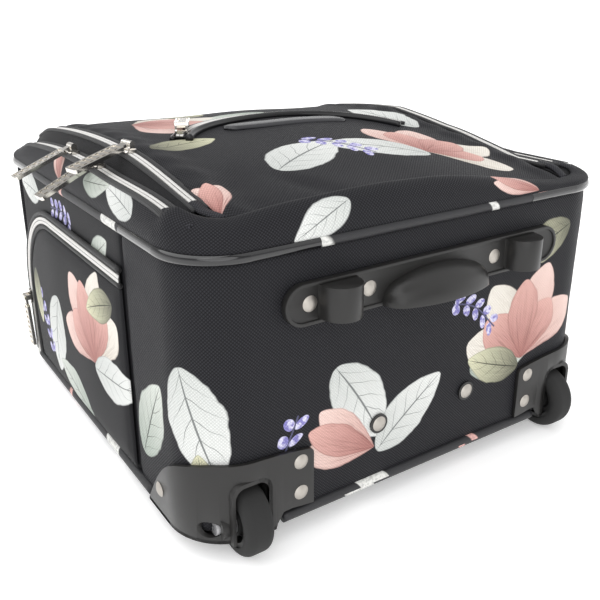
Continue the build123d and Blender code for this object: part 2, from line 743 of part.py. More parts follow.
wheel_housing_left = wheel_housing(-1)
save(wheel_housing_left, "wheel_housing_left")

wheel_housing_right = wheel_housing(1)
save(wheel_housing_right, "wheel_housing_right")

# Wheels: hub, tyre, two bearings and the axle bolt, turned about the wheel's axis

WHEEL_PLANES = {s: Plane(origin=(s * WHEEL_X, WHEEL_Y, WHEEL_Z), x_dir=(0, 1, 0), z_dir=(s, 0, 0)) for s in (-1, 1)}

with BuildPart() as hub:
    with BuildSketch(Plane.XZ):
        with BuildLine():
            Polyline(
                (BEARING_R + RUN, HUB_WIDTH / 2),
                (BEARING_R + 2.2, HUB_WIDTH / 2),
                (BEARING_R + 2.8, HUB_WEB / 2),
                (HUB_RIM_R - 0.6, HUB_WEB / 2),
                (HUB_RIM_R, HUB_WIDTH / 2),
                (TYRE_FLOOR_R - RUN, HUB_WIDTH / 2),
                (TYRE_FLOOR_R - RUN, -HUB_WIDTH / 2),
                (HUB_RIM_R, -HUB_WIDTH / 2),
                (HUB_RIM_R - 0.6, -HUB_WEB / 2),
                (BEARING_R + 2.8, -HUB_WEB / 2),
                (BEARING_R + 2.2, -HUB_WIDTH / 2),
                (BEARING_R + RUN, -HUB_WIDTH / 2),
                (BEARING_R + RUN, -HUB_WIDTH / 2 + BEARING_WIDTH + 1),
                (BEARING_R - 1.5, -HUB_WIDTH / 2 + BEARING_WIDTH + 1),
                (BEARING_R - 1.5, HUB_WIDTH / 2 - BEARING_WIDTH - 1),
                (BEARING_R + RUN, HUB_WIDTH / 2 - BEARING_WIDTH - 1),
                close=True,
            )
        make_face()
    revolve(axis=Axis.Z)

with BuildPart() as tyre:
    with BuildSketch(Plane.XZ):
        with Locations(((TYRE_FLOOR_R + WHEEL_R) / 2, 0)):
            Rectangle(WHEEL_R - TYRE_FLOOR_R, TYRE_WIDTH)
    revolve(axis=Axis.Z)
    fillet(tyre.edges().filter_by(GeomType.CIRCLE).group_by(SortBy.RADIUS)[-1], TREAD_ROUND)

with BuildPart() as bearings:
    for end in (-1, 1):
        with Locations((0, 0, end * (HUB_WIDTH / 2 - 1 - BEARING_WIDTH / 2))):
            Cylinder(BEARING_R, BEARING_WIDTH)
            Cylinder(AXLE_R + RUN, BEARING_WIDTH, mode=Mode.SUBTRACT)

AXLE_SPAN = (-WELL_WIDTH / 2 - WELL_WALL - AXLE_TAIL, BOSS_END_X - WHEEL_X - AXLE_HEAD - BOSS_RECESS)
with BuildPart() as axle:
    with Locations((0, 0, (AXLE_SPAN[0] + AXLE_SPAN[1]) / 2)):
        Cylinder(AXLE_R, AXLE_SPAN[1] - AXLE_SPAN[0])
    with BuildSketch(Plane.XY.offset(AXLE_SPAN[1])):
        Circle(AXLE_HEAD_R)
        RegularPolygon(2.2, 6, mode=Mode.SUBTRACT)
    extrude(amount=AXLE_HEAD)
    with BuildSketch(Plane.XY.offset(-WELL_WIDTH / 2 - WELL_WALL - SEAT)):
        RegularPolygon(AXLE_HEAD_R, 6)
    extrude(amount=-AXLE_NUT)

for side, word in ((-1, "left"), (1, "right")):
    for node, turned in (("wheel_hub", hub), ("tyre", tyre), ("wheel_bearings", bearings), ("axle", axle)):
        with BuildPart() as placed:
            add(WHEEL_PLANES[side].location * turned.part)
        save(placed, f"{node}_{word}")

# Foot bar: one moulding with a raised rim, two feet and the cup pull

bar_face = down_plane(0, -SEAT, BAR_Z)
HOOD_AXIS = Axis((0, -SEAT - BAR_THICK, CUP_MOUTH_Z), (-1, 0, 0))


def foot(x):
    """Make one foot, from its wide base on the bar out to its rounded nose"""
    with BuildPart() as block_foot:
        for share, reach in ((0.0, 0.0), (0.45, 0.4), (1.0, 1.0)):
            width = FOOT_BASE[0] + (FOOT_NOSE[0] - FOOT_BASE[0]) * min(1.0, share * 1.6)
            height = FOOT_BASE[1] + (FOOT_NOSE[1] - FOOT_BASE[1]) * share
            with BuildSketch(down_plane(x, -SEAT - BAR_THICK - reach * (FOOT_REACH - BAR_THICK - SEAT), BAR_Z)):
                RectangleRounded(width, height, FOOT_CORNER_R)
        loft()
        fillet(block_foot.faces().sort_by(Axis.Y)[0].edges(), FOOT_ROUND)
    return block_foot.part


def hood_line(half, rise):
    """Draw the cup pull's mouth: a domed line from end to end and the straight line back"""
    base_y = -SEAT - BAR_THICK
    dome = Spline(
        (-half, base_y),
        (0, base_y - rise),
        (half, base_y),
        tangents=((0, -1), (1, 0), (0, 1)),
    )
    Line(dome @ 1, dome @ 0)


with BuildPart() as foot_bar:
    with BuildSketch(bar_face):
        SlotOverall(2 * BAR_HALF, BAR_HEIGHT)
    extrude(amount=BAR_THICK)
    with BuildSketch(bar_face.offset(BAR_THICK)):
        SlotOverall(2 * BAR_HALF, BAR_HEIGHT)
        SlotOverall(2 * BAR_HALF - 2 * BAR_RIM, BAR_HEIGHT - 2 * BAR_RIM, mode=Mode.SUBTRACT)
    extrude(amount=BAR_RIM_RISE)
    for x in (-FOOT_X, FOOT_X):
        add(foot(x))
    with BuildSketch(Plane.XY.offset(CUP_MOUTH_Z)):
        with BuildLine():
            hood_line(CUP_HALF, CUP_R)
        make_face()
    revolve(axis=HOOD_AXIS, revolution_arc=90)
    with BuildSketch(Plane.XY.offset(CUP_MOUTH_Z)):
        with BuildLine():
            hood_line(CUP_HALF - CUP_WALL, CUP_R - CUP_WALL)
        make_face()
    revolve(axis=HOOD_AXIS, revolution_arc=90, mode=Mode.SUBTRACT)
    with Locations(*[down_plane(x, 0, BAR_Z) for x in BAR_RIVETS]):
        Cylinder(RIVET_SHANK_R + RUN, 20, mode=Mode.SUBTRACT)
save(foot_bar, "foot_bar")

# Rivets and studs

panel_grip = SEAT + CLOTH
with BuildPart() as foot_bar_rivets:
    for x in BAR_RIVETS:
        add(rivet(down_plane(x, -SEAT - BAR_THICK, BAR_Z), RIVET_R, RIVET_RISE, BAR_THICK + panel_grip, RIVET_R - 1))
save(foot_bar_rivets, "foot_bar_rivets")

with BuildPart() as housing_rivets:
    for side in (-1, 1):
        for x, z in FACE_RIVETS:
            add(rivet(down_plane(side * x, -skin_out, z), RIVET_R, RIVET_RISE, GUARD_THICK + panel_grip, RIVET_R - 1))
        flank = Plane(origin=(side * (HALF + skin_out), *FLANK_RIVET), z_dir=(side, 0, 0))
        add(rivet(flank, RIVET_R, RIVET_RISE, GUARD_THICK + panel_grip, RIVET_R - 1))
save(housing_rivets, "housing_rivets")

with BuildPart() as handle_studs:
    for x in (-STUD_X, STUD_X):
        stud_plane = down_plane(x, -SEAT - STUD_WASHER, STUD_Z)
        add(rivet(stud_plane, STUD_R, RIVET_RISE, STUD_WASHER + panel_grip + BOARD + BRACKET_PLATE + 2 * SEAT, RIVET_R - 1))
save(handle_studs, "handle_studs")

with BuildPart() as stud_washers:
    with BuildSketch(down_plane(0, -SEAT, STUD_Z)):
        with Locations((-STUD_X, 0), (STUD_X, 0)):
            Circle(STUD_WASHER_R)
            Circle(RIVET_SHANK_R + RUN, mode=Mode.SUBTRACT)
    extrude(amount=STUD_WASHER)
save(stud_washers, "stud_washers")

# Boards inside the back and the bottom

BOARD_FOOT_Y = CLOTH + SEAT
BOARD_TOP_Y = BOARD_FOOT_Y + BOARD

with BuildPart() as bottom_board:
    block(
        (-HALF + CORNER_R, HALF - CORNER_R),
        (BOARD_FOOT_Y, BOARD_TOP_Y),
        (BOARD_LOW + BOARD + SEAT, WALL_HIGH - 10),
    )
    for side in (-1, 1):
        block(sorted((side * well_x[0], side * well_x[1])), well_y, well_z, mode=Mode.SUBTRACT)
        with Locations(*[down_plane(side * x, CLOTH, z) for x, z in FACE_RIVETS]):
            Cylinder(RIVET_R + 1, 20, mode=Mode.SUBTRACT)
    with Locations(*[down_plane(x, CLOTH, BAR_Z) for x in BAR_RIVETS]):
        Cylinder(RIVET_R, 20, mode=Mode.SUBTRACT)
    with Locations(*[down_plane(x, CLOTH, STUD_Z) for x in (-STUD_X, STUD_X)]):
        Cylinder(RIVET_SHANK_R + RUN, 20, mode=Mode.SUBTRACT)
save(bottom_board, "bottom_board")

with BuildPart() as back_board:
    with BuildSketch(Plane.XY.offset(BOARD_LOW)):
        outline(BOARD_INSET)
        for side in (-1, 1):
            with Locations((side * (well_x[0] + HALF) / 2, (well_y[0] + well_y[1]) / 2)):
                Rectangle(HALF - well_x[0], well_y[1] - well_y[0], mode=Mode.SUBTRACT)
    extrude(amount=BOARD)
save(back_board, "back_board")

# Telescoping handle


def tube_pair(size, wall, foot_y, top_y):
    """Make the left and right tubes of one stage of the handle"""
    with BuildPart() as pair:
        with BuildSketch(Plane.XZ.offset(-foot_y)):
            with Locations((-TUBE_X, TUBE_Z), (TUBE_X, TUBE_Z)):
                RectangleRounded(size[0], size[1], size[1] * 0.3)
                RectangleRounded(size[0] - 2 * wall, size[1] - 2 * wall, size[1] * 0.3 - wall, mode=Mode.SUBTRACT)
        extrude(amount=foot_y - top_y)
    return pair


BRACKET_FLOOR_Y = BOARD_TOP_Y + SEAT
BRACKET_SEAT_Y = BRACKET_FLOOR_Y + BRACKET_PLATE
BRACKET_LOW_Z = TUBE_Z - OUTER_TUBE[1] / 2 - 2.5

outer_tubes = tube_pair(OUTER_TUBE, OUTER_TUBE[2], BRACKET_SEAT_Y + SEAT, OUTER_TUBE_TOP)
save(outer_tubes, "outer_tubes")

middle_tubes = tube_pair(MIDDLE_TUBE, MIDDLE_WALL, MIDDLE_TUBE_FOOT, MIDDLE_TUBE_TOP)
save(middle_tubes, "middle_tubes")

inner_tubes = tube_pair(INNER_TUBE, INNER_WALL, INNER_TUBE_FOOT, INNER_TUBE_TOP)
with BuildPart() as inner_tubes_drilled:
    add(inner_tubes.part)
    for side in (-1, 1):
        with Locations(Plane(origin=(side * (TUBE_X + INNER_TUBE[0] / 2), PIN_Y, TUBE_Z), z_dir=(side, 0, 0))):
            Cylinder(PIN_R + RUN, 4, mode=Mode.SUBTRACT)
save(inner_tubes_drilled, "inner_tubes")

with BuildPart() as foot_bracket:
    block((-BRACKET_HALF, BRACKET_HALF), (BRACKET_FLOOR_Y, BRACKET_SEAT_Y), (BRACKET_LOW_Z, BRACKET_TOP_Z))
    fillet(foot_bracket.edges().filter_by(Axis.Y), 8)
    with BuildSketch(Plane.XZ.offset(-BRACKET_SEAT_Y)):
        with Locations((-TUBE_X, TUBE_Z), (TUBE_X, TUBE_Z)):
            RectangleRounded(OUTER_TUBE[0] + 2 * SEAT + 4, OUTER_TUBE[1] + 2 * SEAT + 4, OUTER_TUBE[1] * 0.3 + 2)
            RectangleRounded(
                OUTER_TUBE[0] + 2 * SEAT,
                OUTER_TUBE[1] + 2 * SEAT,
                OUTER_TUBE[1] * 0.3 + SEAT,
                mode=Mode.SUBTRACT,
            )
    extrude(amount=-BRACKET_CUP)
    with Locations(*[down_plane(x, CLOTH, STUD_Z) for x in (-STUD_X, STUD_X)]):
        Cylinder(RIVET_SHANK_R + RUN, 40, mode=Mode.SUBTRACT)
save(foot_bracket, "foot_bracket")


def top_sketch_plane(y):
    """Return a plane across the tubes at a distance up the bag, drawn in x and z"""
    return Plane(origin=(0, y, TUBE_Z), x_dir=(1, 0, 0), z_dir=(0, -1, 0))


with BuildPart() as handle_bezel:
    with BuildSketch(top_sketch_plane(BODY_HEIGHT + SEAT)):
        with Locations((0, 1.5)):
            RectangleRounded(2 * BEZEL_HALF, CUP_OUTER[1] + 7, 8)
    extrude(amount=-BEZEL_LIP)
    fillet(handle_bezel.faces().sort_by(Axis.Y)[-1].edges(), 1.6)
    with BuildSketch(top_sketch_plane(CUP_FLOOR[0])):
        RectangleRounded(CUP_OUTER[0], CUP_OUTER[1], 7)
    extrude(amount=CUP_FLOOR[0] - BODY_HEIGHT - SEAT - BEZEL_LIP / 2)
    with BuildSketch(top_sketch_plane(CUP_FLOOR[1])):
        RectangleRounded(CUP_OUTER[0] - 2 * CUP_SIDE, CUP_OUTER[1] - 2 * CUP_SIDE, 5)
    extrude(amount=CUP_FLOOR[1] - BODY_HEIGHT - 20, mode=Mode.SUBTRACT)
    with BuildSketch(top_sketch_plane(CUP_FLOOR[0])):
        with Locations((-TUBE_X, 0), (TUBE_X, 0)):
            RectangleRounded(OUTER_TUBE[0] + 2 * SEAT + 3, OUTER_TUBE[1] + 2 * SEAT + 3, OUTER_TUBE[1] * 0.3 + 1.5)
            RectangleRounded(
                OUTER_TUBE[0] + 2 * SEAT,
                OUTER_TUBE[1] + 2 * SEAT,
                OUTER_TUBE[1] * 0.3 + SEAT,
                mode=Mode.SUBTRACT,
            )
    extrude(amount=SLEEVE_DEPTH)
    with BuildSketch(top_sketch_plane(CUP_FLOOR[0])):
        with Locations((-TUBE_X, 0), (TUBE_X, 0)):
            RectangleRounded(MIDDLE_TUBE[0] + 2 * SLIDE, MIDDLE_TUBE[1] + 2 * SLIDE, MIDDLE_TUBE[1] * 0.3 + SLIDE)
    extrude(amount=CUP_FLOOR[0] - CUP_FLOOR[1], mode=Mode.SUBTRACT)
save(handle_bezel, "handle_bezel")

with BuildPart() as middle_collars:
    with BuildSketch(top_sketch_plane(CUP_FLOOR[1] + SEAT)):
        with Locations((-TUBE_X, 0), (TUBE_X, 0)):
            RectangleRounded(COLLAR[0], COLLAR[1], 4)
            RectangleRounded(
                MIDDLE_TUBE[0] + RUN,
                MIDDLE_TUBE[1] + RUN,
                MIDDLE_TUBE[1] * 0.3 + RUN / 2,
                mode=Mode.SUBTRACT,
            )
    extrude(amount=-COLLAR[2])
save(middle_collars, "middle_collars")

with BuildPart() as handle_grip:
    with BuildSketch(top_sketch_plane(GRIP_FOOT)):
        RectangleRounded(2 * GRIP_HALF, GRIP_DEPTH, GRIP_DEPTH / 2 - 0.5)
    extrude(amount=GRIP_FOOT - GRIP_TOP)
    fillet(handle_grip.faces().sort_by(Axis.Y)[-1].edges(), 5.5)
    fillet(handle_grip.faces().sort_by(Axis.Y)[0].edges(), 2.0)
    with BuildSketch(top_sketch_plane(YOKE[0] - BUTTON_TRAVEL - 3.2)):
        RectangleRounded(2 * YOKE_HALF + 1.2, YOKE_DEPTH + 0.8, 2)
    extrude(amount=YOKE[0] - BUTTON_TRAVEL - 3.2 - YOKE[1] - SEAT, mode=Mode.SUBTRACT)
    with BuildSketch(top_sketch_plane(YOKE[1])):
        RectangleRounded(2 * BUTTON_HALF + 2 * SLIDE, BUTTON_DEPTH + 2 * SLIDE, 4 + SLIDE)
    extrude(amount=-10, mode=Mode.SUBTRACT)
    with BuildSketch(top_sketch_plane(GRIP_FOOT)):
        with Locations((-TUBE_X, 0), (TUBE_X, 0)):
            RectangleRounded(INNER_TUBE[0] + RUN, INNER_TUBE[1] + RUN, INNER_TUBE[1] * 0.3 + RUN / 2)
    extrude(amount=GRIP_FOOT - YOKE[0] + BUTTON_TRAVEL + 1, mode=Mode.SUBTRACT)
save(handle_grip, "handle_grip")

with BuildPart() as grip_button:
    with BuildSketch(top_sketch_plane(YOKE[0])):
        RectangleRounded(2 * YOKE_HALF, YOKE_DEPTH, 1.6)
    extrude(amount=YOKE[0] - YOKE[1])
    with BuildSketch(top_sketch_plane(YOKE[1])):
        RectangleRounded(2 * BUTTON_HALF, BUTTON_DEPTH, 4)
    extrude(amount=YOKE[1] - GRIP_TOP - BUTTON_RISE)
    fillet(grip_button.faces().sort_by(Axis.Y)[-1].edges(), 1.2)
save(grip_button, "grip_button")

with BuildPart() as push_rods:
    with BuildSketch(top_sketch_plane(ROD_FOOT)):
        with Locations((-TUBE_X, 0), (TUBE_X, 0)):
            Circle(ROD_R)
    extrude(amount=ROD_FOOT - YOKE[0] + SEAT)
save(push_rods, "push_rods")

for side, word in ((-1, "left"), (1, "right")):
    pin_end = side * (TUBE_X + INNER_TUBE[0] / 2 - RUN)
    with BuildPart() as lock_pin:
        with BuildSketch(Plane(origin=(pin_end, PIN_Y, TUBE_Z), z_dir=(-side, 0, 0))):
            Circle(PIN_R)
        extrude(amount=PIN_LENGTH)
    save(lock_pin, f"lock_pin_{word}")

# Carry handle on the top panel

with BuildPart() as carry_handle:
    with BuildSketch(Plane.XY.offset(CARRY_Z - CARRY_WIDTH / 2)):
        with BuildLine():
            foot_y = BODY_HEIGHT + SEAT
            inner_left = Line((-CARRY_HALF, foot_y), (-CARRY_HALF + CARRY_TAB, foot_y))
            inner = ThreePointArc(inner_left @ 1, (0, foot_y + CARRY_RISE), (CARRY_HALF - CARRY_TAB, foot_y))
            inner_right = Line(inner @ 1, (CARRY_HALF, foot_y))
            Line(inner_right @ 1, (CARRY_HALF, foot_y + CARRY_THICK))
            outer_right = Line((CARRY_HALF, foot_y + CARRY_THICK), (CARRY_HALF - CARRY_TAB + 2, foot_y + CARRY_THICK))
            outer = ThreePointArc(
                outer_right @ 1,
                (0, foot_y + CARRY_RISE + CARRY_THICK),
                (-CARRY_HALF + CARRY_TAB - 2, foot_y + CARRY_THICK),
            )
            outer_left = Line(outer @ 1, (-CARRY_HALF, foot_y + CARRY_THICK))
            Line(outer_left @ 1, inner_left @ 0)
        make_face()
    extrude(amount=CARRY_WIDTH)
save(carry_handle, "carry_handle")

# Sliders and pulls. A slider's frame has y along its zip and z out of the bag. Its pull hangs in a
# frame turned round z, because the bars lie aside, and then tipped down round its pin.


def slider_frames():
    """Return the plane on the coil that each slider stands on"""
    frames = {}
    for node, inset, drop in (
        ("inner_zip", INNER_ZIP_INSET, INNER_ZIP_DROP),
        ("outer_zip_near", OUTER_ZIP_INSET, OUTER_ZIP_DROP),
        ("outer_zip_far", OUTER_ZIP_INSET, OUTER_ZIP_DROP),
    ):
        y = SLIDER_PLACES[node][0]
        place = (-HALF + inset + LANE_WIDTH / 2, y, crown_height(y, drop - COIL_RISE) + SEAT)
        slope = (CROWN_Y - y) / CROWN_R
        frames[node] = Plane(origin=place, x_dir=(1, 0, 0), z_dir=(0, -slope, 1))
    turn = radians(ARCH_TURN - SLIDER_PLACES["front_pocket"][0])
    x, y = -ARCH_R * sin(turn), ARCH_TOP_Y - ARCH_R + ARCH_R * cos(turn)
    place = (x, y, crown_height(y, -TAPE - COIL_RISE) + SEAT)
    frames["front_pocket"] = Plane(origin=place, x_dir=(sin(turn), -cos(turn), 0), z_dir=(0, 0, 1))
    place = (-HALF - TAPE - COIL_RISE - 2 * SEAT, SIDE_ZIP_END_Y, SLIDER_PLACES["side_pocket"][0])
    frames["side_pocket"] = Plane(origin=place, x_dir=(0, -1, 0), z_dir=(-1, 0, 0))
    return frames


def pull_frame(frame, skew, tip):
    """Return the plane of a pull: its pin along y, and its bar out along minus x"""
    return Plane(frame.location * Pos(0, 0, PIVOT_RISE) * Rot(0, 0, skew) * Rot(0, -tip, 0))


SLIDER_FRAMES = slider_frames()
PULL_FRAMES = {
    node: pull_frame(frame, SLIDER_PLACES[node][1], SLIDER_PLACES[node][2]) for node, frame in SLIDER_FRAMES.items()
}

with BuildPart() as pull:
    with BuildSketch(Plane.XZ.offset(-KNUCKLE_WIDTH / 2)):
        Circle(KNUCKLE_R)
        with Locations((-PULL_NECK / 2, 0)):
            Rectangle(PULL_NECK, PULL_THICK * 0.8)
        Circle(PULL_PIN_R + RUN, mode=Mode.SUBTRACT)
    extrude(amount=KNUCKLE_WIDTH)
    bar_length = PULL_LENGTH - PULL_NECK
    with BuildSketch(Plane.XY.offset(-PULL_THICK / 2)):
        with Locations((-PULL_NECK - bar_length / 2, 0)):
            RectangleRounded(bar_length, PULL_WIDTH, 1.6)
    extrude(amount=PULL_THICK)
    with BuildSketch(Plane.XY.offset(PULL_THICK / 2)):
        with Locations((-PULL_NECK - bar_length / 2, 0)):
            RectangleRounded(bar_length - 2 * PULL_RIM, PULL_WIDTH - 2 * PULL_RIM, 0.8)
    extrude(amount=-PULL_RIDGE_RISE, mode=Mode.SUBTRACT)
    ridge_pitch = (bar_length - 4 * PULL_RIM) / PULL_RIDGES
    with BuildSketch(Plane.XY.offset(PULL_THICK / 2 - PULL_RIDGE_RISE)):
        with Locations((-PULL_NECK - bar_length / 2, 0)):
            with GridLocations(ridge_pitch, 0, PULL_RIDGES, 1):
                Rectangle(ridge_pitch * 0.5, PULL_WIDTH - 4 * PULL_RIM)
    extrude(amount=PULL_RIDGE_RISE)

for node, frame in SLIDER_FRAMES.items():
    with BuildPart() as ears:
        for end in (-1, 1):
            ear_y = end * (KNUCKLE_WIDTH / 2 + SLIDE + EAR_THICK / 2)
            with BuildSketch(Plane.XZ.offset(-ear_y - EAR_THICK / 2)):
                with Locations((0, PIVOT_RISE)):
                    Circle(EAR_WIDTH / 2)
                with Locations((0, PIVOT_RISE / 2)):
                    Rectangle(EAR_WIDTH, PIVOT_RISE)
            extrude(amount=EAR_THICK)
        with Locations(Location((0, 0, PIVOT_RISE), (90, 0, 0))):
            Cylinder(PULL_PIN_R, KNUCKLE_WIDTH + 2 * SLIDE + EAR_THICK)
    with BuildPart() as slider:
        with BuildSketch():
            RectangleRounded(SLIDER_WIDTH, SLIDER_LENGTH, 2.5)
        extrude(amount=SLIDER_THICK)
        add(Rot(0, 0, SLIDER_PLACES[node][1]) * ears.part)
    with BuildPart() as placed_slider:
        add(frame.location * slider.part)
    save(placed_slider, f"slider_{node}")
    with BuildPart() as placed_pull:
        add(PULL_FRAMES[node].location * pull.part)
    save(placed_pull, f"pull_{node}")
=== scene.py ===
"""The looks of a soft-sided carry-on bag that lies on its back on its two wheels.

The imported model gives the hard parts. The cloth, piping, zips and straps are made here, in the bag's
own frame: x across, y up from its bottom, z from its back to its front. place() lays them down.
"""

import json
import math

import bmesh
import bpy
import numpy as np
from mathutils import Matrix, Vector


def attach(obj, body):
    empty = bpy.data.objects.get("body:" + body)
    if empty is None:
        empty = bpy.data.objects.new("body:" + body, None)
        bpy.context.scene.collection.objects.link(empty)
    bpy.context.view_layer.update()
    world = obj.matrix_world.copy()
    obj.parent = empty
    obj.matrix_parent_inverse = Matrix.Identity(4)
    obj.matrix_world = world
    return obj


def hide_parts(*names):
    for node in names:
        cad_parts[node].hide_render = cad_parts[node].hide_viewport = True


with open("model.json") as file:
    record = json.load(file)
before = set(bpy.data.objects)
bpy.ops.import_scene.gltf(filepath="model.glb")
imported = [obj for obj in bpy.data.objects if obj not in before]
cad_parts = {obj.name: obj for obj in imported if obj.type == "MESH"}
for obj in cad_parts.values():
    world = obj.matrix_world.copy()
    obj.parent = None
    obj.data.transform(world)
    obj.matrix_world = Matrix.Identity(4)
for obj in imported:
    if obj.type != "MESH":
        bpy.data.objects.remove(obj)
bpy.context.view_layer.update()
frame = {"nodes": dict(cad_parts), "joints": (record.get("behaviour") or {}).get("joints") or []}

bl_info = {
    "name": "Carry-on bag cloth",
    "version": (1, 0, 0),
    "blender": (4, 5, 0),
    "location": "View3D > Sidebar > Bag",
    "description": "Dresses a packed carry-on bag in printed cloth, zips and piping",
    "category": "Object",
}

# Where the bag's own frame lies, from the handle's slide and the wheels' axle

WHEEL_REST = (0.142, 0.0091, 0.0094)
JOINTS = {joint["name"]: joint for joint in frame["joints"]}
SLIDE = JOINTS["handle_lower_stage"]["axis"]
LEAN = math.atan2(-SLIDE[2], SLIDE[1])
AXLE = JOINTS["wheel_right_spin"]["pos_m"]
SHIFT = np.array(
    (
        AXLE[0] - WHEEL_REST[0],
        AXLE[1] - WHEEL_REST[1] * math.cos(LEAN) - WHEEL_REST[2] * math.sin(LEAN),
        AXLE[2] - WHEEL_REST[2] * math.cos(LEAN) + WHEEL_REST[1] * math.sin(LEAN),
    )
)
TURN = np.array(
    (
        (1, 0, 0),
        (0, math.cos(LEAN), math.sin(LEAN)),
        (0, -math.sin(LEAN), math.cos(LEAN)),
    )
)


def place(points):
    """Lay points of the bag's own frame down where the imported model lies"""
    return np.asarray(points, float) @ TURN.T + SHIFT


def bag_points(node):
    """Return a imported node's points in the bag's own frame"""
    mesh = frame["nodes"][node].data
    points = np.empty(len(mesh.vertices) * 3)
    mesh.vertices.foreach_get("co", points)
    return (points.reshape(-1, 3) - SHIFT) @ TURN


def reach(node, axis, end):
    """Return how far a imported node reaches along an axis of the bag's own frame"""
    values = bag_points(node)[:, axis]
    return float(values.max() if end > 0 else values.min())


HALF = reach("right_side_panel", 0, 1)
HEIGHT = reach("top_panel", 1, 1)
WALL_LOW = reach("left_side_panel", 2, -1)
WALL_HIGH = reach("left_side_panel", 2, 1)
LOWER_SEAM = reach("left_side_panel", 1, -1)
UPPER_SEAM = reach("left_side_panel", 1, 1)
PIPING_Z = reach("front_piping", 2, 1)
PIPING_BACK_Z = reach("back_piping", 2, 1)
CROWN_Z = reach("front_panel", 2, 1)
PANEL_HALF = reach("front_panel", 0, 1)
PANEL_TOP = reach("front_panel", 1, 1)
PANEL_FOOT = reach("front_panel", 1, -1)
OUTER_INSET = HALF - reach("outer_zip", 0, 1)
INNER_INSET = HALF - reach("inner_zip", 0, 1)
LANE_FOOT = reach("outer_zip", 1, -1)


def length_setting(name, description, default):
    """Describe a length that a user may change"""
    return bpy.props.FloatProperty(name=name, description=description, default=default, unit="LENGTH")


def colour_setting(name, description, default):
    """Describe a colour that a user may change"""
    return bpy.props.FloatVectorProperty(name=name, description=description, default=default, subtype="COLOR")


class BagSizes(bpy.types.PropertyGroup):
    """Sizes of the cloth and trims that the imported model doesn't give"""

    corner: length_setting("Corner radius", "Radius of the body's corners", 0.039)
    crown_radius: length_setting("Crown radius", "Radius of the front's crown", 0.951)
    crown_middle: length_setting("Crown middle", "Height up the bag of the crown's top", 0.185)
    cloth: length_setting("Cloth", "Thickness of the padded cloth", 0.0018)
    step: length_setting("Mesh step", "Distance between the cloth's mesh points", 0.004)
    lane: length_setting("Zip width", "Width of the long zips' tape", 0.0084)
    outer_drop: length_setting("Outer zip drop", "Height of the outer zip under the crown", 0.012)
    inner_drop: length_setting("Inner zip drop", "Height of the inner zip under the crown", 0.001)
    piping: length_setting("Piping radius", "Radius of the covered cord", 0.00375)
    slump: length_setting("Slump", "How far the front sinks at its low right corner", 0.019)
    coil_width: length_setting("Coil width", "Width of a zip's closed coil", 0.0056)
    tooth_pitch: length_setting("Tooth pitch", "Distance from one turn of a coil to the next", 0.0016)
    stitch_pitch: length_setting("Stitch pitch", "Distance from one stitch to the next", 0.0034)


def smooth(value):
    """Ease a value from 0 to 1"""
    t = np.clip(value, 0.0, 1.0)
    return t * t * (3 - 2 * t)


def near(distance, width):
    """Return 1 at a place, falling softly to 0 away from it"""
    return np.exp(-((distance / width) ** 2))


def ripple(u, v, seed, scale):
    """Return a soft uneven wave between -1 and 1 over a cloth"""
    draw = np.random.default_rng(seed)
    total = np.zeros(np.broadcast(u, v).shape)
    for _ in range(5):
        angle, phase = draw.uniform(0, 2 * math.pi, 2)
        length = scale * draw.uniform(0.6, 1.6)
        total += np.sin(2 * math.pi * (u * math.cos(angle) + v * math.sin(angle)) / length + phase)
    return total / 5


def shares(across, up, low=(0, 0)):
    """Return a grid of shares from low to 1, with so many points across and up"""
    return np.meshgrid(np.linspace(low[0], 1, across), np.linspace(low[1], 1, up))


def chord(radius, off):
    """Return how far a circle reaches at a distance off its middle"""
    return np.sqrt(np.maximum(radius**2 - off**2, 0))


# The front's height over the bag


def crown(y):
    """Return how high the crowned front stands at a distance up the bag"""
    radius = sizes().crown_radius
    return CROWN_Z - radius + chord(radius, y - sizes().crown_middle)


SAG_UP = (0.0, 0.107, 0.151, 0.183, 0.214, 0.37)
SAG_SHARE = (1.0, 0.79, 0.63, 0.42, 0.21, 0.21)


def sag(x, y):
    """Return how far the soft front sinks below its crown"""
    depth = np.interp(y, SAG_UP, SAG_SHARE)
    right = sizes().slump * depth * smooth(x / 0.15)
    left = 0.006 * smooth((-x - 0.1) / 0.075) * smooth((0.045 - y) / 0.045)
    swell = -0.003 * near(x + 0.045, 0.05) * near(y, 0.03)
    top = 0.006 * smooth((y - 0.3) / 0.045)
    return right + left + swell + top


def front_z(x, y):
    """Return the height of the front panel's cloth"""
    return np.maximum(crown(y) - sag(x, y), PIPING_Z + 0.001)


def outer_zip_z(x, y):
    """Return the height of the outer zip's tape"""
    rise = 0.0055 * smooth((0.135 - y) / 0.1)
    return np.maximum(crown(y) - sizes().outer_drop + rise - sag(x, y), PIPING_Z + 0.004)


def inner_zip_z(x, y):
    """Return the height of the inner zip's tape"""
    fall = 0.004 * smooth((0.142 - y) / 0.1)
    return np.maximum(crown(y) - sizes().inner_drop - fall - sag(x, y), PIPING_Z + 0.006)


# Paths round the bag's outline


def run(start, end, step):
    """Return evenly spaced values from one end to the other"""
    return np.linspace(start, end, max(2, int(abs(end - start) / step) + 1))


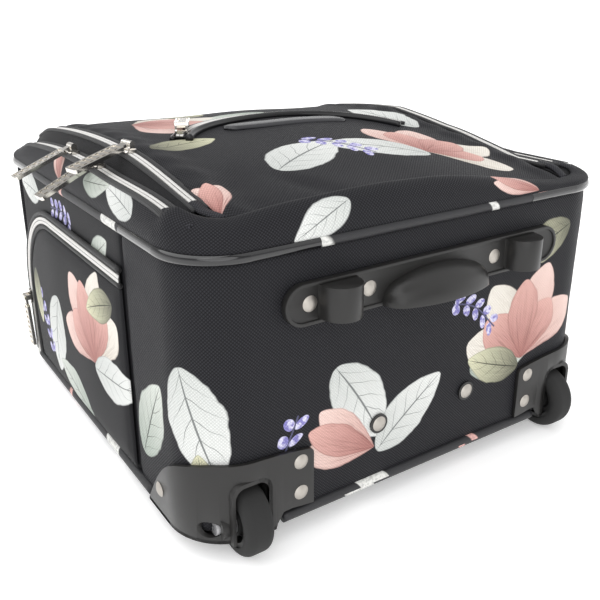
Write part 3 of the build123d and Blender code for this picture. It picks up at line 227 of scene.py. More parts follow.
def over_path(inset, foot, low=False, closed=False):
    """Return the points of a path set in from the outline: from a foot on the left side over the top
    to the right side, or the same round the bottom, or closed round the whole bag"""
    corner = sizes().corner
    step = sizes().step
    radius = corner - inset
    high = HEIGHT - corner
    across = HALF - corner
    quarter = run(0, math.pi / 2, step / corner)[1:-1]
    small, large = radius * np.sin(quarter), radius * np.cos(quarter)
    up = run(corner if closed else foot, high, step)
    level = run(-across, across, step)
    stretches = [
        (np.full(len(up), inset - HALF), up),
        (-across - large, high + small),
        (level, np.full(len(level), HEIGHT - inset)),
        (across + small, high + large),
        (np.full(len(up), HALF - inset), up[::-1]),
    ]
    if closed:
        stretches += [
            (across + large, corner - small),
            (level[::-1], np.full(len(level), inset)),
            (-across - small, corner - large),
        ]
    path = np.concatenate([np.column_stack(stretch) for stretch in stretches])
    if low:
        path[:, 1] = HEIGHT - path[:, 1]
    return path


def lengths(path, closed=False):
    """Return how far along a path each of its points is"""
    ahead = np.roll(path, -1, axis=0) if closed else path[1:]
    here = path if closed else path[:-1]
    return np.concatenate(((0.0,), np.cumsum(np.linalg.norm(ahead - here, axis=1))))


def headings(path, closed=False):
    """Return the directions in which a path runs"""
    if closed:
        return np.roll(path, -1, axis=0) - np.roll(path, 1, axis=0)
    return np.gradient(path, axis=0)


def unit(directions):
    """Return directions at a length of 1"""
    return directions / np.linalg.norm(directions, axis=1)[:, None]


def outward(path, closed=False):
    """Return the unit directions out of the bag along a path of its outline"""
    along = headings(path, closed)
    across = unit(np.column_stack((-along[:, 1], along[:, 0])))
    middle = path - np.array((0.0, HEIGHT / 2))
    across[np.sum(across * middle, axis=1) < 0] *= -1
    return across


# Meshes


def linked(name, data):
    """Make an object in the scene from a mesh, a curve, a camera or a light"""
    piece = bpy.data.objects.new(name, data)
    bpy.context.scene.collection.objects.link(piece)
    return piece


def mesh_piece(name, points, faces, places=None):
    """Make a piece from points in the bag's frame. With its cloth's own map, which has a place for
    each corner of each face, it is shaded smooth"""
    mesh = bpy.data.meshes.new(name)
    mesh.from_pydata(place(points).tolist(), [], faces)
    if places is not None:
        mesh.shade_smooth()
        layer = mesh.uv_layers.new(name="cloth")
        layer.data.foreach_set("uv", np.array(places, np.float32).ravel())
    return linked(name, mesh)


def skin_faces(sides, columns, closed=False):
    """Return the faces over lines of points that lie side by side round a piece, with its two ends"""
    faces = []
    for side in range(sides):
        here, ahead = side * columns, (side + 1) % sides * columns
        for column in range(columns if closed else columns - 1):
            after = (column + 1) % columns
            faces.append((here + column, ahead + column, ahead + after, here + after))
    if not closed:
        faces += [tuple(side * columns + end for side in range(sides)) for end in (0, columns - 1)]
    return faces


def solid(piece):
    """Apply a piece's modifiers to its mesh"""
    graph = bpy.context.evaluated_depsgraph_get()
    made = bpy.data.meshes.new_from_object(piece.evaluated_get(graph))
    old = piece.data
    piece.modifiers.clear()
    piece.data = made
    bpy.data.meshes.remove(old)
    made.name = piece.name
    return piece


def cloth_piece(name, grid, flat, thickness, finish, keep=None, wrap=False, out=None):
    """Make a closed sheet of cloth from a grid of points on its outer face. flat says where each
    lies on the cloth, keep says which cells stay, and out is a direction out of its middle cell"""
    rows, columns = grid.shape[:2]
    faces, places = [], []
    for row in range(rows - 1):
        here, above = row * columns, (row + 1) * columns
        for column in range(columns if wrap else columns - 1):
            if keep is None or keep[row, column]:
                ahead = (column + 1) % columns
                faces.append((here + column, here + ahead, above + ahead, above + column))
                low, high = flat[row, column : column + 2], flat[row + 1, column : column + 2]
                places.append((low[0], low[1], high[1], high[0]))
    points = grid.reshape(-1, 3)
    first, second, _, fourth = points[list(faces[len(faces) // 2])]
    away = first - np.array((0.0, HEIGHT / 2, WALL_HIGH / 2)) if out is None else np.array(out)
    if np.cross(second - first, fourth - first) @ away < 0:
        faces = [face[::-1] for face in faces]
        places = [corners[::-1] for corners in places]
    piece = mesh_piece(name, points, faces, places)
    if keep is not None:
        drop_loose(piece.data)
    thicken = piece.modifiers.new("Thickness", "SOLIDIFY")
    thicken.thickness = thickness
    thicken.offset = -1
    thicken.use_even_offset = False
    solid(piece)
    finish_piece(piece, finish)
    return piece


def drop_loose(mesh):
    """Delete points that no face uses"""
    work = bmesh.new()
    work.from_mesh(mesh)
    bmesh.ops.delete(work, geom=[point for point in work.verts if not point.link_faces], context="VERTS")
    work.to_mesh(mesh)
    work.free()


def tube(name, path, radius, finish, sides=14, closed=False, up=(0, 0, 1)):
    """Make a cord along a path, with its map running along and round it"""
    path = np.asarray(path, float)
    along = unit(headings(path, closed))
    side = unit(np.cross(along, np.asarray(up, float)))
    top = np.cross(side, along)
    angles = np.linspace(0, 2 * math.pi, sides, endpoint=False)[:, None, None]
    grid = path[None] + np.cos(angles) * (side * radius)[None] + np.sin(angles) * (top * radius)[None]
    length = lengths(path, closed)
    girth = 2 * math.pi * radius / sides
    places = []
    for low, high in ((a * girth, (a + 1) * girth) for a in range(sides)):
        for near, far in zip(length, length[1:]):
            places += [(near, low), (near, high), (far, high), (far, low)]
    if not closed:
        places += [(0.0, 0.0)] * sides + [(length[-1], 0.0)] * sides
    piece = mesh_piece(name, grid.reshape(-1, 3), skin_faces(sides, len(path), closed), places)
    work_out(piece.data)
    finish_piece(piece, finish)
    return piece


def work_out(mesh):
    """Turn a closed mesh's faces outwards"""
    work = bmesh.new()
    work.from_mesh(mesh)
    bmesh.ops.recalc_face_normals(work, faces=work.faces)
    work.to_mesh(mesh)
    work.free()


def join(name, parts):
    """Join several objects into one"""
    bpy.ops.object.select_all(action="DESELECT")
    for part in parts:
        part.select_set(True)
    bpy.context.view_layer.objects.active = parts[0]
    bpy.ops.object.join()
    parts[0].name = name
    parts[0].data.name = name
    return parts[0]


def finish_piece(piece, finish):
    """Give a piece its material"""
    piece.data.materials.clear()
    piece.data.materials.append(material(finish))


def dress(piece, slot, *nodes):
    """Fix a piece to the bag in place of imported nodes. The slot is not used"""
    if nodes:
        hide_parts(*nodes)
    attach(piece, "bag")
    return piece


def sizes():
    """Return the scene's bag sizes"""
    return bpy.context.scene.bag_sizes


# The body's cloth


def wall_grid(path, low, high, swell, seed):
    """Return the grid and map of a wall between two seams: swell is how far it fills out"""
    heights = run(low, high, sizes().step)
    out = outward(path)
    length = lengths(path)
    u, v = np.meshgrid(length, heights)
    rise = (v - low) / (high - low)
    fill = swell * np.sin(math.pi * rise) ** 0.7 * np.sin(math.pi * u / length[-1]) ** 0.5
    edge = 0.0012 * (near(u, 0.0035) + near(u - length[-1], 0.0035))
    edge += 0.0008 * (near(v - high, 0.005) + near(v - low, 0.005))
    wave = 0.0005 * (ripple(u, v, seed, 0.12) - 1) + 0.00015 * ripple(u, v, seed + 1, 0.03)
    depth = fill + wave - edge
    return np.dstack((path + out * depth[..., None], v)), np.dstack((u, v))


WELL_X = (0.1236, 0.1570)
WELL_REACH = 0.0445
BOSS_X = 0.1650
BOSS_REACH = 0.0190
BEZEL_LIP_X = 0.0048
BEZEL_LIP_Z = 0.0019


def cell_middles(grid):
    """Return the middle of each of a grid's cells"""
    return (grid[:-1, :-1] + grid[1:, 1:]) / 2


def clear_of_wells(grid, up):
    """Return which cells lie clear of the wheels' wells and bosses, which reach along the axis up"""
    middle = cell_middles(grid)
    x, rise = np.abs(middle[..., 0]), middle[..., up]
    well = (x < WELL_X[1]) & (rise < WELL_REACH)
    boss = (x < BOSS_X) & (rise < BOSS_REACH)
    return ~((x > WELL_X[0]) & (well | boss))


def clear_of_cup(grid):
    """Return which cells of the top lie clear of the handle's cup, inside its bezel's lip"""
    middle = cell_middles(grid)
    low, high = reach("handle_bezel", 2, -1), reach("handle_bezel", 2, 1)
    half = reach("handle_bezel", 0, 1) - BEZEL_LIP_X
    across = np.abs(middle[..., 2] - (low + high) / 2) < (high - low) / 2 - BEZEL_LIP_Z
    return ~((np.abs(middle[..., 0]) < half) & across)


def make_walls():
    """Make the four walls of the body"""
    cloth = sizes().cloth
    low, high = WALL_LOW - 0.002, WALL_HIGH + 0.002
    path = over_path(0.0, HEIGHT - LOWER_SEAM + 0.0004, low=True)
    grid, flat = wall_grid(path, low, high, 0.0, 11)
    keep = clear_of_wells(grid, 2)
    piece = cloth_piece("cloth_bottom", grid, flat, cloth, "print_bottom", keep=keep, out=(0, -1, 0))
    dress(piece, "printed_cloth", "bottom_panel")
    path = over_path(0.0, UPPER_SEAM + 0.0002)
    grid, flat = wall_grid(path, low, high, 0.0, 12)
    piece = cloth_piece("cloth_top", grid, flat, cloth, "print_top", keep=clear_of_cup(grid), out=(0, 1, 0))
    dress(piece, "printed_cloth", "top_panel")
    for side, name, swell in ((-1, "left", 0.0), (1, "right", 0.003)):
        ys = run(LOWER_SEAM, UPPER_SEAM, sizes().step)
        path = np.column_stack((np.full(len(ys), side * HALF), ys))
        grid, flat = wall_grid(path, low, high, swell, 13 + side)
        piece = cloth_piece(f"cloth_{name}_side", grid, flat, cloth, f"print_{name}", out=(side, 0, 0))
        dress(piece, "side_cloth", f"{name}_side_panel")


def make_back():
    """Make the back, which the bag lies on: it fills out a little between its seams"""
    inset = 0.0051
    xs = run(-HALF + inset, HALF - inset, sizes().step)
    ys = run(inset, HEIGHT - inset, sizes().step)
    x, y = np.meshgrid(xs, ys)
    corner = sizes().corner - inset
    over = np.maximum(np.abs(y - HEIGHT / 2) - (HEIGHT / 2 - inset - corner), 0)
    limit = HALF - inset - corner + chord(corner, over)
    x = x / (HALF - inset) * limit
    fill = np.sin(math.pi * np.clip((x + HALF) / (2 * HALF), 0, 1)) * np.sin(math.pi * y / HEIGHT)
    z = reach("back_panel", 2, -1) - 0.0012 * np.sqrt(np.maximum(fill, 0)) + 0.0004 * ripple(x, y, 21, 0.1)
    grid = np.dstack((x, y, z))
    keep = clear_of_wells(grid, 1)
    flat = grid[..., :2]
    piece = cloth_piece("cloth_back", grid, flat, sizes().cloth, "print_back", keep=keep, out=(0, 0, -1))
    dress(piece, "printed_cloth", "back_panel")


def make_band():
    """Make the band from the front piping up to the outer zip and, along the bottom, over the ridge"""
    base = over_path(0.0012, 0, closed=True)
    out = outward(base, closed=True)
    x, y = base[:, 0], base[:, 1]
    over = smooth((LANE_FOOT + 0.004 - y) / 0.014)
    top_inset = OUTER_INSET + 0.0008 + over * (PANEL_FOOT - OUTER_INSET + 0.0022)
    tip = base - out * (top_inset - 0.0012)[:, None]
    tip_z = (1 - over) * (outer_zip_z(*tip.T) + 0.0002) + over * front_z(*tip.T)
    foot_z = PIPING_Z - 0.0006
    rise = tip_z - foot_z
    soft = 0.0022 + 0.0012 * ripple(lengths(base, True)[:-1], 0 * x, 31, 0.15)
    rows = []
    for t in np.linspace(0, 1, 15):
        swell = 3 * (1 - t) ** 2 * t
        round_off = 3 * (1 - t) * t * t
        far = t**3
        inset = -swell * soft + (round_off * (0.45 - 0.3 * over) + far) * (top_inset - 0.0012)
        z = foot_z + swell * rise * 0.45 + round_off * rise * (0.8 + 0.2 * over) + far * rise
        spot = base - out * inset[:, None]
        rows.append(np.column_stack((spot, z)))
    grid = np.array(rows)
    flat = np.dstack(np.meshgrid(lengths(base, closed=True), np.linspace(0, 0.03, 15)))
    piece = cloth_piece("cloth_band", grid, flat, sizes().cloth, "print_band", wrap=True, out=(1, 0, 0))
    dress(piece, "printed_cloth", "front_band")


def make_front():
    """Make the crowned front panel"""
    step = sizes().step
    ys = run(PANEL_FOOT + 0.001, PANEL_TOP, step * 0.8)
    share = np.linspace(-1, 1, int(2 * PANEL_HALF / step * 1.25))
    share, y = np.meshgrid(share, ys)
    corner = 0.0068
    over = np.maximum(y - (PANEL_TOP - corner), 0)
    limit = PANEL_HALF - corner + chord(corner, over)
    x = share * limit
    z = front_z(x, y)
    edge = np.minimum(limit - np.abs(x), PANEL_TOP - y)
    z = z - 0.0026 * (1 - smooth(edge / 0.006)) + 0.0016 * near(edge - 0.012, 0.007)
    pucker = near(edge, 0.02) * np.sin((x + y) * 2 * math.pi / 0.031)
    z += 0.0005 * pucker + 0.0011 * ripple(x, y, 41, 0.16) * smooth(edge / 0.03)
    z -= 0.0022 * near(x + 0.118 - 0.5 * (y - 0.05), 0.012) * near(y - 0.05, 0.03)
    z -= 0.0018 * near(x + 0.075 + 0.4 * (y - 0.03), 0.01) * near(y - 0.03, 0.022)
    grid = np.dstack((x, y, z))
    piece = cloth_piece("cloth_front", grid, grid[..., :2], sizes().cloth, "print_front", out=(0, 0, 1))
    dress(piece, "printed_cloth", "front_panel")


def lane_flat(grid):
    """Return the map of a strip: along it and across it"""
    rows, columns = grid.shape[:2]
    return np.dstack(np.meshgrid(lengths(grid[rows // 2]), lengths(grid[:, columns // 2])))


def make_gusset():
    """Make the black gusset that rises from the outer zip to the inner one"""
    inset = OUTER_INSET + sizes().lane - 0.0004
    width = INNER_INSET - inset + 0.0006
    rows = []
    for t in np.linspace(0, 1, 9):
        path = over_path(inset + t * width, LANE_FOOT - 0.004)
        low, high = outer_zip_z(*path.T) - 0.0004, inner_zip_z(*path.T) - 0.0006
        fold = 0.0016 * math.sin(math.pi * t) * (1 + 0.5 * ripple(*path.T, 51, 0.09))
        rows.append(np.column_stack((path, low + (high - low) * smooth(t) + fold)))
    grid = np.array(rows)
    piece = cloth_piece("cloth_gusset", grid, lane_flat(grid), 0.0012, "black_weave", out=(0, 0, 1))
    dress(piece, "black_cloth", "front_gusset")


def corner_patch(side):
    """Return the cloth of one lower corner, from the zips' feet to the ridge"""
    u, v = shares(15, 15)
    inner = PANEL_HALF - 0.0015
    outer = HALF - OUTER_INSET - 0.0004
    high = LANE_FOOT + 0.0015
    low = PANEL_FOOT + 0.001
    reach_x = inner + u * (outer - inner)
    corner = sizes().corner - OUTER_INSET
    past = np.maximum(reach_x - (HALF - sizes().corner), 0)
    edge = sizes().corner - chord(corner, past) + 0.002
    foot = np.minimum(np.maximum(edge, low), high - 0.004)
    y = foot + v * (high - foot)
    x = side * reach_x
    blend = smooth((y - 0.012) / 0.026)
    share = smooth((HALF - INNER_INSET - reach_x + 0.004) / 0.02)
    lanes = (1 - share) * outer_zip_z(x, y) + share * inner_zip_z(x, y)
    z = (1 - blend) * front_z(x, y) + blend * lanes - 0.0008
    z += 0.0005 * np.sin(reach_x * 2 * math.pi / 0.009) * blend
    grid = np.dstack((x, y, z))
    return cloth_piece(f"corner_{side}", grid, grid[..., :2], 0.0012, "black_weave", out=(0, 0, 1))


def end_tab(side, inset, height, lift):
    """Return the woven tab that covers the foot of one long zip"""
    middle = HALF - inset - sizes().lane / 2
    u, v = shares(9, 13, (-1, 0))
    low, high = 0.0145, LANE_FOOT + 0.005
    y = low + v * (high - low)
    pull_in = 0.004 * smooth((0.032 - y) / 0.022)
    x = side * (middle - pull_in + u * (sizes().lane / 2 + 0.0002) * (1 - 0.12 * (1 - v)))
    blend = smooth((y - 0.012) / 0.026)
    base = (1 - blend) * front_z(x, y) + blend * height(x, y)
    z = base + lift * (1 - 0.75 * np.abs(u) ** 3) - 0.0008 * (1 - v) ** 2
    grid = np.dstack((x, y, z))
    return cloth_piece(f"tab_{side}_{inset:.3f}", grid, grid[..., :2], 0.0016, "tab_weave", out=(0, 0, 1))


def make_corners():
    """Make the cloth of the lower corners and the woven tabs over the zips' feet"""
    parts = []
    for side in (-1, 1):
        parts.append(corner_patch(side))
        parts.append(end_tab(side, OUTER_INSET, outer_zip_z, 0.0022))
        parts.append(end_tab(side, INNER_INSET, inner_zip_z, 0.0022))
    dress(join("zip_end_cloth", parts), "black_cloth", "zip_end_tabs")


# Node helpers


def put(tree, kind, *ins, **settings):
    """Add a node, with its settings and its first inputs, which may be sockets or values"""
    made = tree.nodes.new(kind)
    for key, value in settings.items():
        setattr(made, key, value)
    for index, value in enumerate(ins):
        give(tree, made.inputs[index], value)
    return made


def give(tree, socket, value):
    """Link a socket to an input, or set the input to a value"""
    if isinstance(value, bpy.types.NodeSocket):
        tree.links.new(value, socket)
    else:
        socket.default_value = value


def feed(tree, node, values):
    """Give a node's named inputs their sockets or values"""
    for label, value in values.items():
        give(tree, node.inputs[label], value)


def calc(tree, operation, *ins, clamp=False):
    """Add a sum and return its result"""
    return put(tree, "ShaderNodeMath", *ins, operation=operation, use_clamp=clamp).outputs[0]


def times(tree, first, second):
    """Multiply two values"""
    return calc(tree, "MULTIPLY", first, second)


def plus(tree, first, second):
    """Add two values"""
    return calc(tree, "ADD", first, second)


def minus(tree, first, second):
    """Take the second value from the first"""
    return calc(tree, "SUBTRACT", first, second)


def fade(tree, value, low, high, first=0.0, last=1.0):
    """Ease a value from first to last between two ends"""
    made = put(tree, "ShaderNodeMapRange", value, low, high, first, last, interpolation_type="SMOOTHSTEP")
    return made.outputs[0]


def mixed(tree, factor, under, over, blend="MIX"):
    """Mix two colours"""
    made = put(tree, "ShaderNodeMix", data_type="RGBA", blend_type=blend)
    give(tree, made.inputs["Factor"], factor)
    give(tree, made.inputs[6], under)
    give(tree, made.inputs[7], over)
    return made.outputs[2]


def tone(colour, share=1.0):
    """Return a colour at a share of its strength, with its opacity"""
    return (*(min(1.0, c * share) for c in colour), 1.0)


def noise(tree, place_on, scale, detail=2.0, rough=0.5):
    """Add a noise and return its height"""
    made = put(tree, "ShaderNodeTexNoise")
    feed(tree, made, {"Vector": place_on, "Scale": scale, "Detail": detail, "Roughness": rough})
    return made.outputs[0]


def group(name, ins, outs, kind="ShaderNodeTree"):
    """Start a node group and return it with the sockets that it is given and those of its result"""
    tree = bpy.data.node_groups.new(name, kind)
    for in_out, sockets in (("INPUT", ins), ("OUTPUT", outs)):
        for label, sort in sockets:
            tree.interface.new_socket(label, in_out=in_out, socket_type=f"NodeSocket{sort}")
    return tree, tree.nodes.new("NodeGroupInput").outputs, tree.nodes.new("NodeGroupOutput").inputs


# Zips: tape, binding, coil


BAR_SOCKETS = (
    ("Geometry", "Geometry"),
    ("Pitch", "Float"),
    ("Radius", "Float"),
    ("Length", "Float"),
    ("Spread", "Float"),
    ("Turn", "Float"),
    ("Up", "Vector"),
    ("Material", "Material"),
)


def moved(tree, shape, **values):
    """Shift or turn a shape by a node's named inputs"""
    made = put(tree, "GeometryNodeTransform", shape)
    feed(tree, made, values)
    return made.outputs[0]


def bar_tree(rows):
    """Make the nodes that repeat a short rounded bar along a curve, in one row or in two that mesh"""
    outs = (("Geometry", "Geometry"),)
    tree, given, result = group(f"Bars in {rows}", BAR_SOCKETS, outs, "GeometryNodeTree")
    line = put(tree, "GeometryNodeResampleCurve", mode="LENGTH")
    feed(tree, line, {"Curve": given["Geometry"], "Length": given["Pitch"]})
    along = put(tree, "FunctionNodeAlignRotationToVector", axis="X")
    feed(tree, along, {"Vector": put(tree, "GeometryNodeInputTangent").outputs[0]})
    upright = put(tree, "FunctionNodeAlignRotationToVector", axis="Z", pivot_axis="X")
    feed(tree, upright, {"Rotation": along.outputs[0], "Vector": given["Up"]})
    bar = put(tree, "GeometryNodeMeshCylinder")
    feed(tree, bar, {"Vertices": 6, "Side Segments": 1, "Radius": given["Radius"], "Depth": given["Length"]})
    shape = moved(tree, bar.outputs["Mesh"], Rotation=(0, math.pi / 2, 0))
    shape = moved(tree, shape, Rotation=put(tree, "ShaderNodeCombineXYZ", 0, 0, given["Turn"]).outputs[0])
    if rows == 2:
        both = put(tree, "GeometryNodeJoinGeometry")
        for sign in (-1, 1):
            ahead = times(tree, given["Pitch"], sign / 4)
            aside = times(tree, given["Spread"], sign / 2)
            shift = put(tree, "ShaderNodeCombineXYZ", ahead, aside).outputs[0]
            tree.links.new(moved(tree, shape, Translation=shift), both.inputs[0])
        shape = both.outputs[0]
    copies = put(tree, "GeometryNodeInstanceOnPoints")
    feed(tree, copies, {"Points": line.outputs["Curve"], "Instance": shape, "Rotation": upright.outputs[0]})
    real = put(tree, "GeometryNodeRealizeInstances", copies.outputs["Instances"])
    coloured = put(tree, "GeometryNodeSetMaterial")
    feed(tree, coloured, {"Geometry": real.outputs[0], "Material": given["Material"]})
    give(tree, result["Geometry"], coloured.outputs[0])
    return tree


def bars(name, path, finish, rows, pitch, radius, length, spread=0.0, turn=0.0, up=(0, 0, 1)):
    """Return small bars repeated along a path, as a plain mesh"""
    key = f"Bars in {rows}"
    tree = bpy.data.node_groups.get(key) or bar_tree(rows)
    curve = bpy.data.curves.new(f"{name}_line", "CURVE")
    curve.dimensions = "3D"
    spline = curve.splines.new("POLY")
    points = place(path)
    spline.points.add(len(points) - 1)
    spline.points.foreach_set("co", np.column_stack((points, np.ones(len(points)))).ravel())
    line = linked(curve.name, curve)
    repeat = line.modifiers.new("Repeat", "NODES")
    repeat.node_group = tree
    given = {item.name: item.identifier for item in tree.interface.items_tree if item.in_out == "INPUT"}
    for label, value in (
        ("Pitch", pitch),
        ("Radius", radius),
        ("Length", length),
        ("Spread", spread),
        ("Turn", turn),
        ("Up", (TURN @ np.array(up, float)).tolist()),
        ("Material", material(finish)),
    ):
        repeat[given[label]] = value
    graph = bpy.context.evaluated_depsgraph_get()
    mesh = bpy.data.meshes.new_from_object(line.evaluated_get(graph))
    bpy.data.objects.remove(line)
    bpy.data.curves.remove(curve)
    mesh.name = name
    mesh.shade_smooth()
    return linked(name, mesh)


def strip(name, middle, across, width, rise, finish, up, across_at=(-1, -0.6, 0, 0.6, 1)):
    """Return a flat strip along a line: across is the unit direction over it, rise its crown"""
    rows = []
    for share in across_at:
        lift = rise * (1 - share * share)
        rows.append(middle + across * share * width / 2 + np.asarray(up) * lift)
    grid = np.array(rows)
    return cloth_piece(name, grid, lane_flat(grid), 0.0008, finish, out=up)


def zip_parts(name, middle, across, width, up):
    """Return the parts of a zip along a line: tape, base of the coil, turns of the coil and stitches"""
    up = np.asarray(up, float)
    size = sizes()
    wide = size.coil_width
    parts = [strip(f"{name}_tape", middle, across, width, 0.0002, "zip_tape", up)]
    seat = middle + up * 0.0006
    # The coil's base is darker than its turns so the gaps between turns read dark: partly the darker tape and
    # cord under the coil, partly painted shade
    core = strip(f"{name}_core", seat, across, wide, 0.0004, "zip_core_and_gap_shade", up, (-1, -0.5, -0.04, 0.04, 0.5, 1))
    parts.append(core)
    top = middle + up * 0.0009
    turns = bars(
        f"{name}_turns", top, "zip_silver", 2, size.tooth_pitch, 0.00058, wide * 0.40,
        spread=wide * 0.52, turn=math.pi / 2 - 0.22, up=up,
    )
    parts.append(turns)
    for share in (-1, 1):
        line = middle + across * share * (width / 2 - 0.0009) + up * 0.0003
        seam = bars(f"{name}_seam_{share}", line, "thread", 1, size.stitch_pitch, 0.00026, 0.0024, up=up)
        parts.append(seam)
    return parts


def make_long_zips():
    """Make the outer and the inner zip round three sides of the front"""
    for name, inset, height, nodes in (
        ("outer_zip_coil", OUTER_INSET, outer_zip_z, "outer_zip"),
        ("inner_zip_coil", INNER_INSET, inner_zip_z, "inner_zip"),
    ):
        path = over_path(inset + sizes().lane / 2, LANE_FOOT)
        out = outward(path)
        middle = np.column_stack((path, height(*path.T)))
        across = np.column_stack((out, np.zeros(len(out))))
        parts = zip_parts(name, middle, across, sizes().lane, (0, 0, 1))
        dress(join(name, parts), "zip_silver", nodes)


def binding_line(inset, lift, height):
    """Return the line of a binding along the long zips"""
    path = over_path(inset, LANE_FOOT - 0.004)
    return np.column_stack((path, height(*path.T) + lift))


def make_bindings():
    """Make the soft black rolls that edge the long zips"""
    parts = []
    for name, inset, lift, height, radius in (
        ("outer_low", OUTER_INSET - 0.0006, 0.0002, outer_zip_z, 0.0021),
        ("outer_high", OUTER_INSET + sizes().lane + 0.0006, 0.0008, outer_zip_z, 0.0017),
        ("inner_low", INNER_INSET - 0.0004, 0.0000, inner_zip_z, 0.0016),
        ("inner_high", INNER_INSET + sizes().lane + 0.0006, 0.0006, inner_zip_z, 0.0017),
    ):
        line = binding_line(inset, lift, height)
        parts.append(tube(f"binding_{name}", line, radius, "binding", sides=10))
    dress(join("zip_bindings", parts), "black_cloth")


ARCH_HALF = 0.103
ARCH_END_Y = 0.158
ARCH_TOP_Y = 0.214
ARCH_RISE = ARCH_TOP_Y - ARCH_END_Y
ARCH_R = (ARCH_HALF**2 + ARCH_RISE**2) / (2 * ARCH_RISE)
ARCH_TURN = math.asin(ARCH_HALF / ARCH_R)


def arch_line(shift, lift, extra=0.0):
    """Return a line along the front pocket's arch, a little off it, on the front panel"""
    turns = np.linspace(-ARCH_TURN - extra, ARCH_TURN + extra, 90)
    radius = ARCH_R - shift
    x = radius * np.sin(turns)
    y = ARCH_TOP_Y - ARCH_R + radius * np.cos(turns)
    across = np.column_stack((np.sin(turns), np.cos(turns), 0 * turns))
    return np.column_stack((x, y, front_z(x, y) + lift)), across


def make_front_pocket():
    """Make the arched zip of the front pocket, its bindings and the roll of cloth under it"""
    middle, across = arch_line(0.0, 0.0019)
    parts = zip_parts("arch_zip", middle, across, 0.009, (0, 0, 1))
    dress(join("front_pocket_coil", parts), "zip_silver", "front_pocket_zip")
    low, _ = arch_line(0.0072, 0.0016, 0.03)
    high, _ = arch_line(-0.0052, 0.0012, 0.03)
    roll = tube("arch_roll", low, 0.0030, "vinyl_roll", sides=12)
    edge = tube("arch_edge", high, 0.0017, "vinyl_roll", sides=10)
    dress(join("front_pocket_piping", [roll, edge]), "black_cloth", "front_pocket_roll")


def make_name_patch():
    """Make the bare padded patch under the arch: it is a soft raised slot. Its stitched edge is not made here
    """
    long, tall, middle = 0.115, 0.020, 0.176
    u, v = shares(49, 13, (-1, -1))
    end = tall / 2
    x = u * long / 2
    past = np.maximum(np.abs(x) - (long / 2 - end), 0)
    half = chord(end, past) * (0.86 + 0.14 * smooth((x + 0.0575) / 0.03))
    y = middle + v * half
    puff = np.sqrt(np.clip((1 - v**4) * (1 - np.abs(u) ** 14), 0, 1))
    z = front_z(x, y) + 0.0006 + 0.0022 * puff
    grid = np.dstack((x, y, z))
    piece = cloth_piece("name_patch_pad", grid, grid[..., :2], 0.0012, "patch", out=(0, 0, 1))
    dress(piece, "patch", "name_patch")


SIDE_ZIP_Z = 0.152
SIDE_BEND_R = 0.080
SIDE_END_Y = 0.328
POCKET_FOOT_Z = 0.009


def side_line(shift, lift):
    """Return a line along the side zip, shifted to its inside, and the direction across it"""
    foot = LOWER_SEAM + 0.001
    bend_y, bend_z = SIDE_END_Y - SIDE_BEND_R, SIDE_ZIP_Z - SIDE_BEND_R
    radius = SIDE_BEND_R - shift
    up = run(foot, bend_y, 0.004)
    turn = run(0, math.pi / 2, 0.05)[1:-1]
    down = run(bend_z, POCKET_FOOT_Z, 0.004)
    y = np.concatenate((up, bend_y + radius * np.sin(turn), np.full(len(down), bend_y + radius)))
    z = np.concatenate((np.full(len(up), bend_z + radius), bend_z + radius * np.cos(turn), down))
    path = np.column_stack((np.full(len(y), -HALF - lift), y, z))
    return path, np.cross(unit(headings(path)), np.array((-1.0, 0.0, 0.0)))


def make_side_pocket():
    """Make the side pocket's panel, its zip and the bindings on both sides of it"""
    margin = 0.0064
    foot_y = LOWER_SEAM + 0.0012
    top_y = SIDE_END_Y - margin
    bend_y, bend_z = SIDE_END_Y - SIDE_BEND_R, SIDE_ZIP_Z - SIDE_BEND_R
    ys = run(foot_y, top_y, sizes().step)
    share, y = np.meshgrid(np.linspace(0, 1, 36), ys)
    past = np.clip(y - bend_y, 0, SIDE_BEND_R - margin)
    high = bend_z + chord(SIDE_BEND_R - margin, past)
    z = POCKET_FOOT_Z + share * (high - POCKET_FOOT_Z)
    along = (y - foot_y) / (top_y - foot_y)
    edge = np.minimum(np.minimum(y - foot_y, top_y - y), np.minimum(z - POCKET_FOOT_Z, high - z))
    puff = (np.sin(math.pi * along) * np.sin(math.pi * np.clip(share * 0.94 + 0.03, 0, 1))) ** 0.6
    depth = 0.0006 + 0.0052 * puff + 0.0012 * smooth(edge / 0.01)
    depth += 0.0006 * ripple(y, z, 61, 0.09) * smooth(edge / 0.02)
    grid = np.dstack((-HALF - depth, y, z))
    piece = cloth_piece("cloth_side_pocket", grid, grid[..., 1:], 0.0004, "print_pocket", out=(-1, 0, 0))
    dress(piece, "side_cloth", "side_pocket_panel")
    middle, across = side_line(0.0, 0.0018)
    parts = zip_parts("side_zip", middle, across, 0.0092, (-1, 0, 0))
    dress(join("side_pocket_coil", parts), "zip_silver", "side_pocket_zip")
    parts = []
    for name, shift, radius in (("outside", -0.0056, 0.0019), ("inside", 0.0056, 0.0018)):
        line, _ = side_line(shift, 0.0014)
        parts.append(tube(f"side_binding_{name}", line, radius, "binding", sides=10, up=(-1, 0, 0)))
    dress(join("side_pocket_bindings", parts), "black_cloth")


# Piping and straps


def make_piping():
    """Make the cloth-covered piping of the front and the back"""
    radius = sizes().piping
    path = over_path(0.0012, 0, closed=True)
    front_z_line = PIPING_Z - radius
    wave = 0.0002 * ripple(lengths(path, True)[:-1], 0 * path[:, 0], 71, 0.05)
    line = np.column_stack((path, front_z_line + wave))
    piece = tube("front_piping_cord", line, radius * 0.97, "piping_print", closed=True)
    dress(piece, "black_cloth", "front_piping")
    line = over_path(0.0012, 0.0742)
    back_z = PIPING_BACK_Z - radius
    upper = tube("back_upper", np.column_stack((line, np.full(len(line), back_z))), radius, "piping_print")
    xs = run(-0.1183, 0.1183, 0.004)
    low = np.column_stack((xs, np.full(len(xs), 0.0012), np.full(len(xs), back_z)))
    lower = tube("back_lower", low, radius, "piping_print")
    dress(join("back_piping_cord", [upper, lower]), "black_cloth", "back_piping")


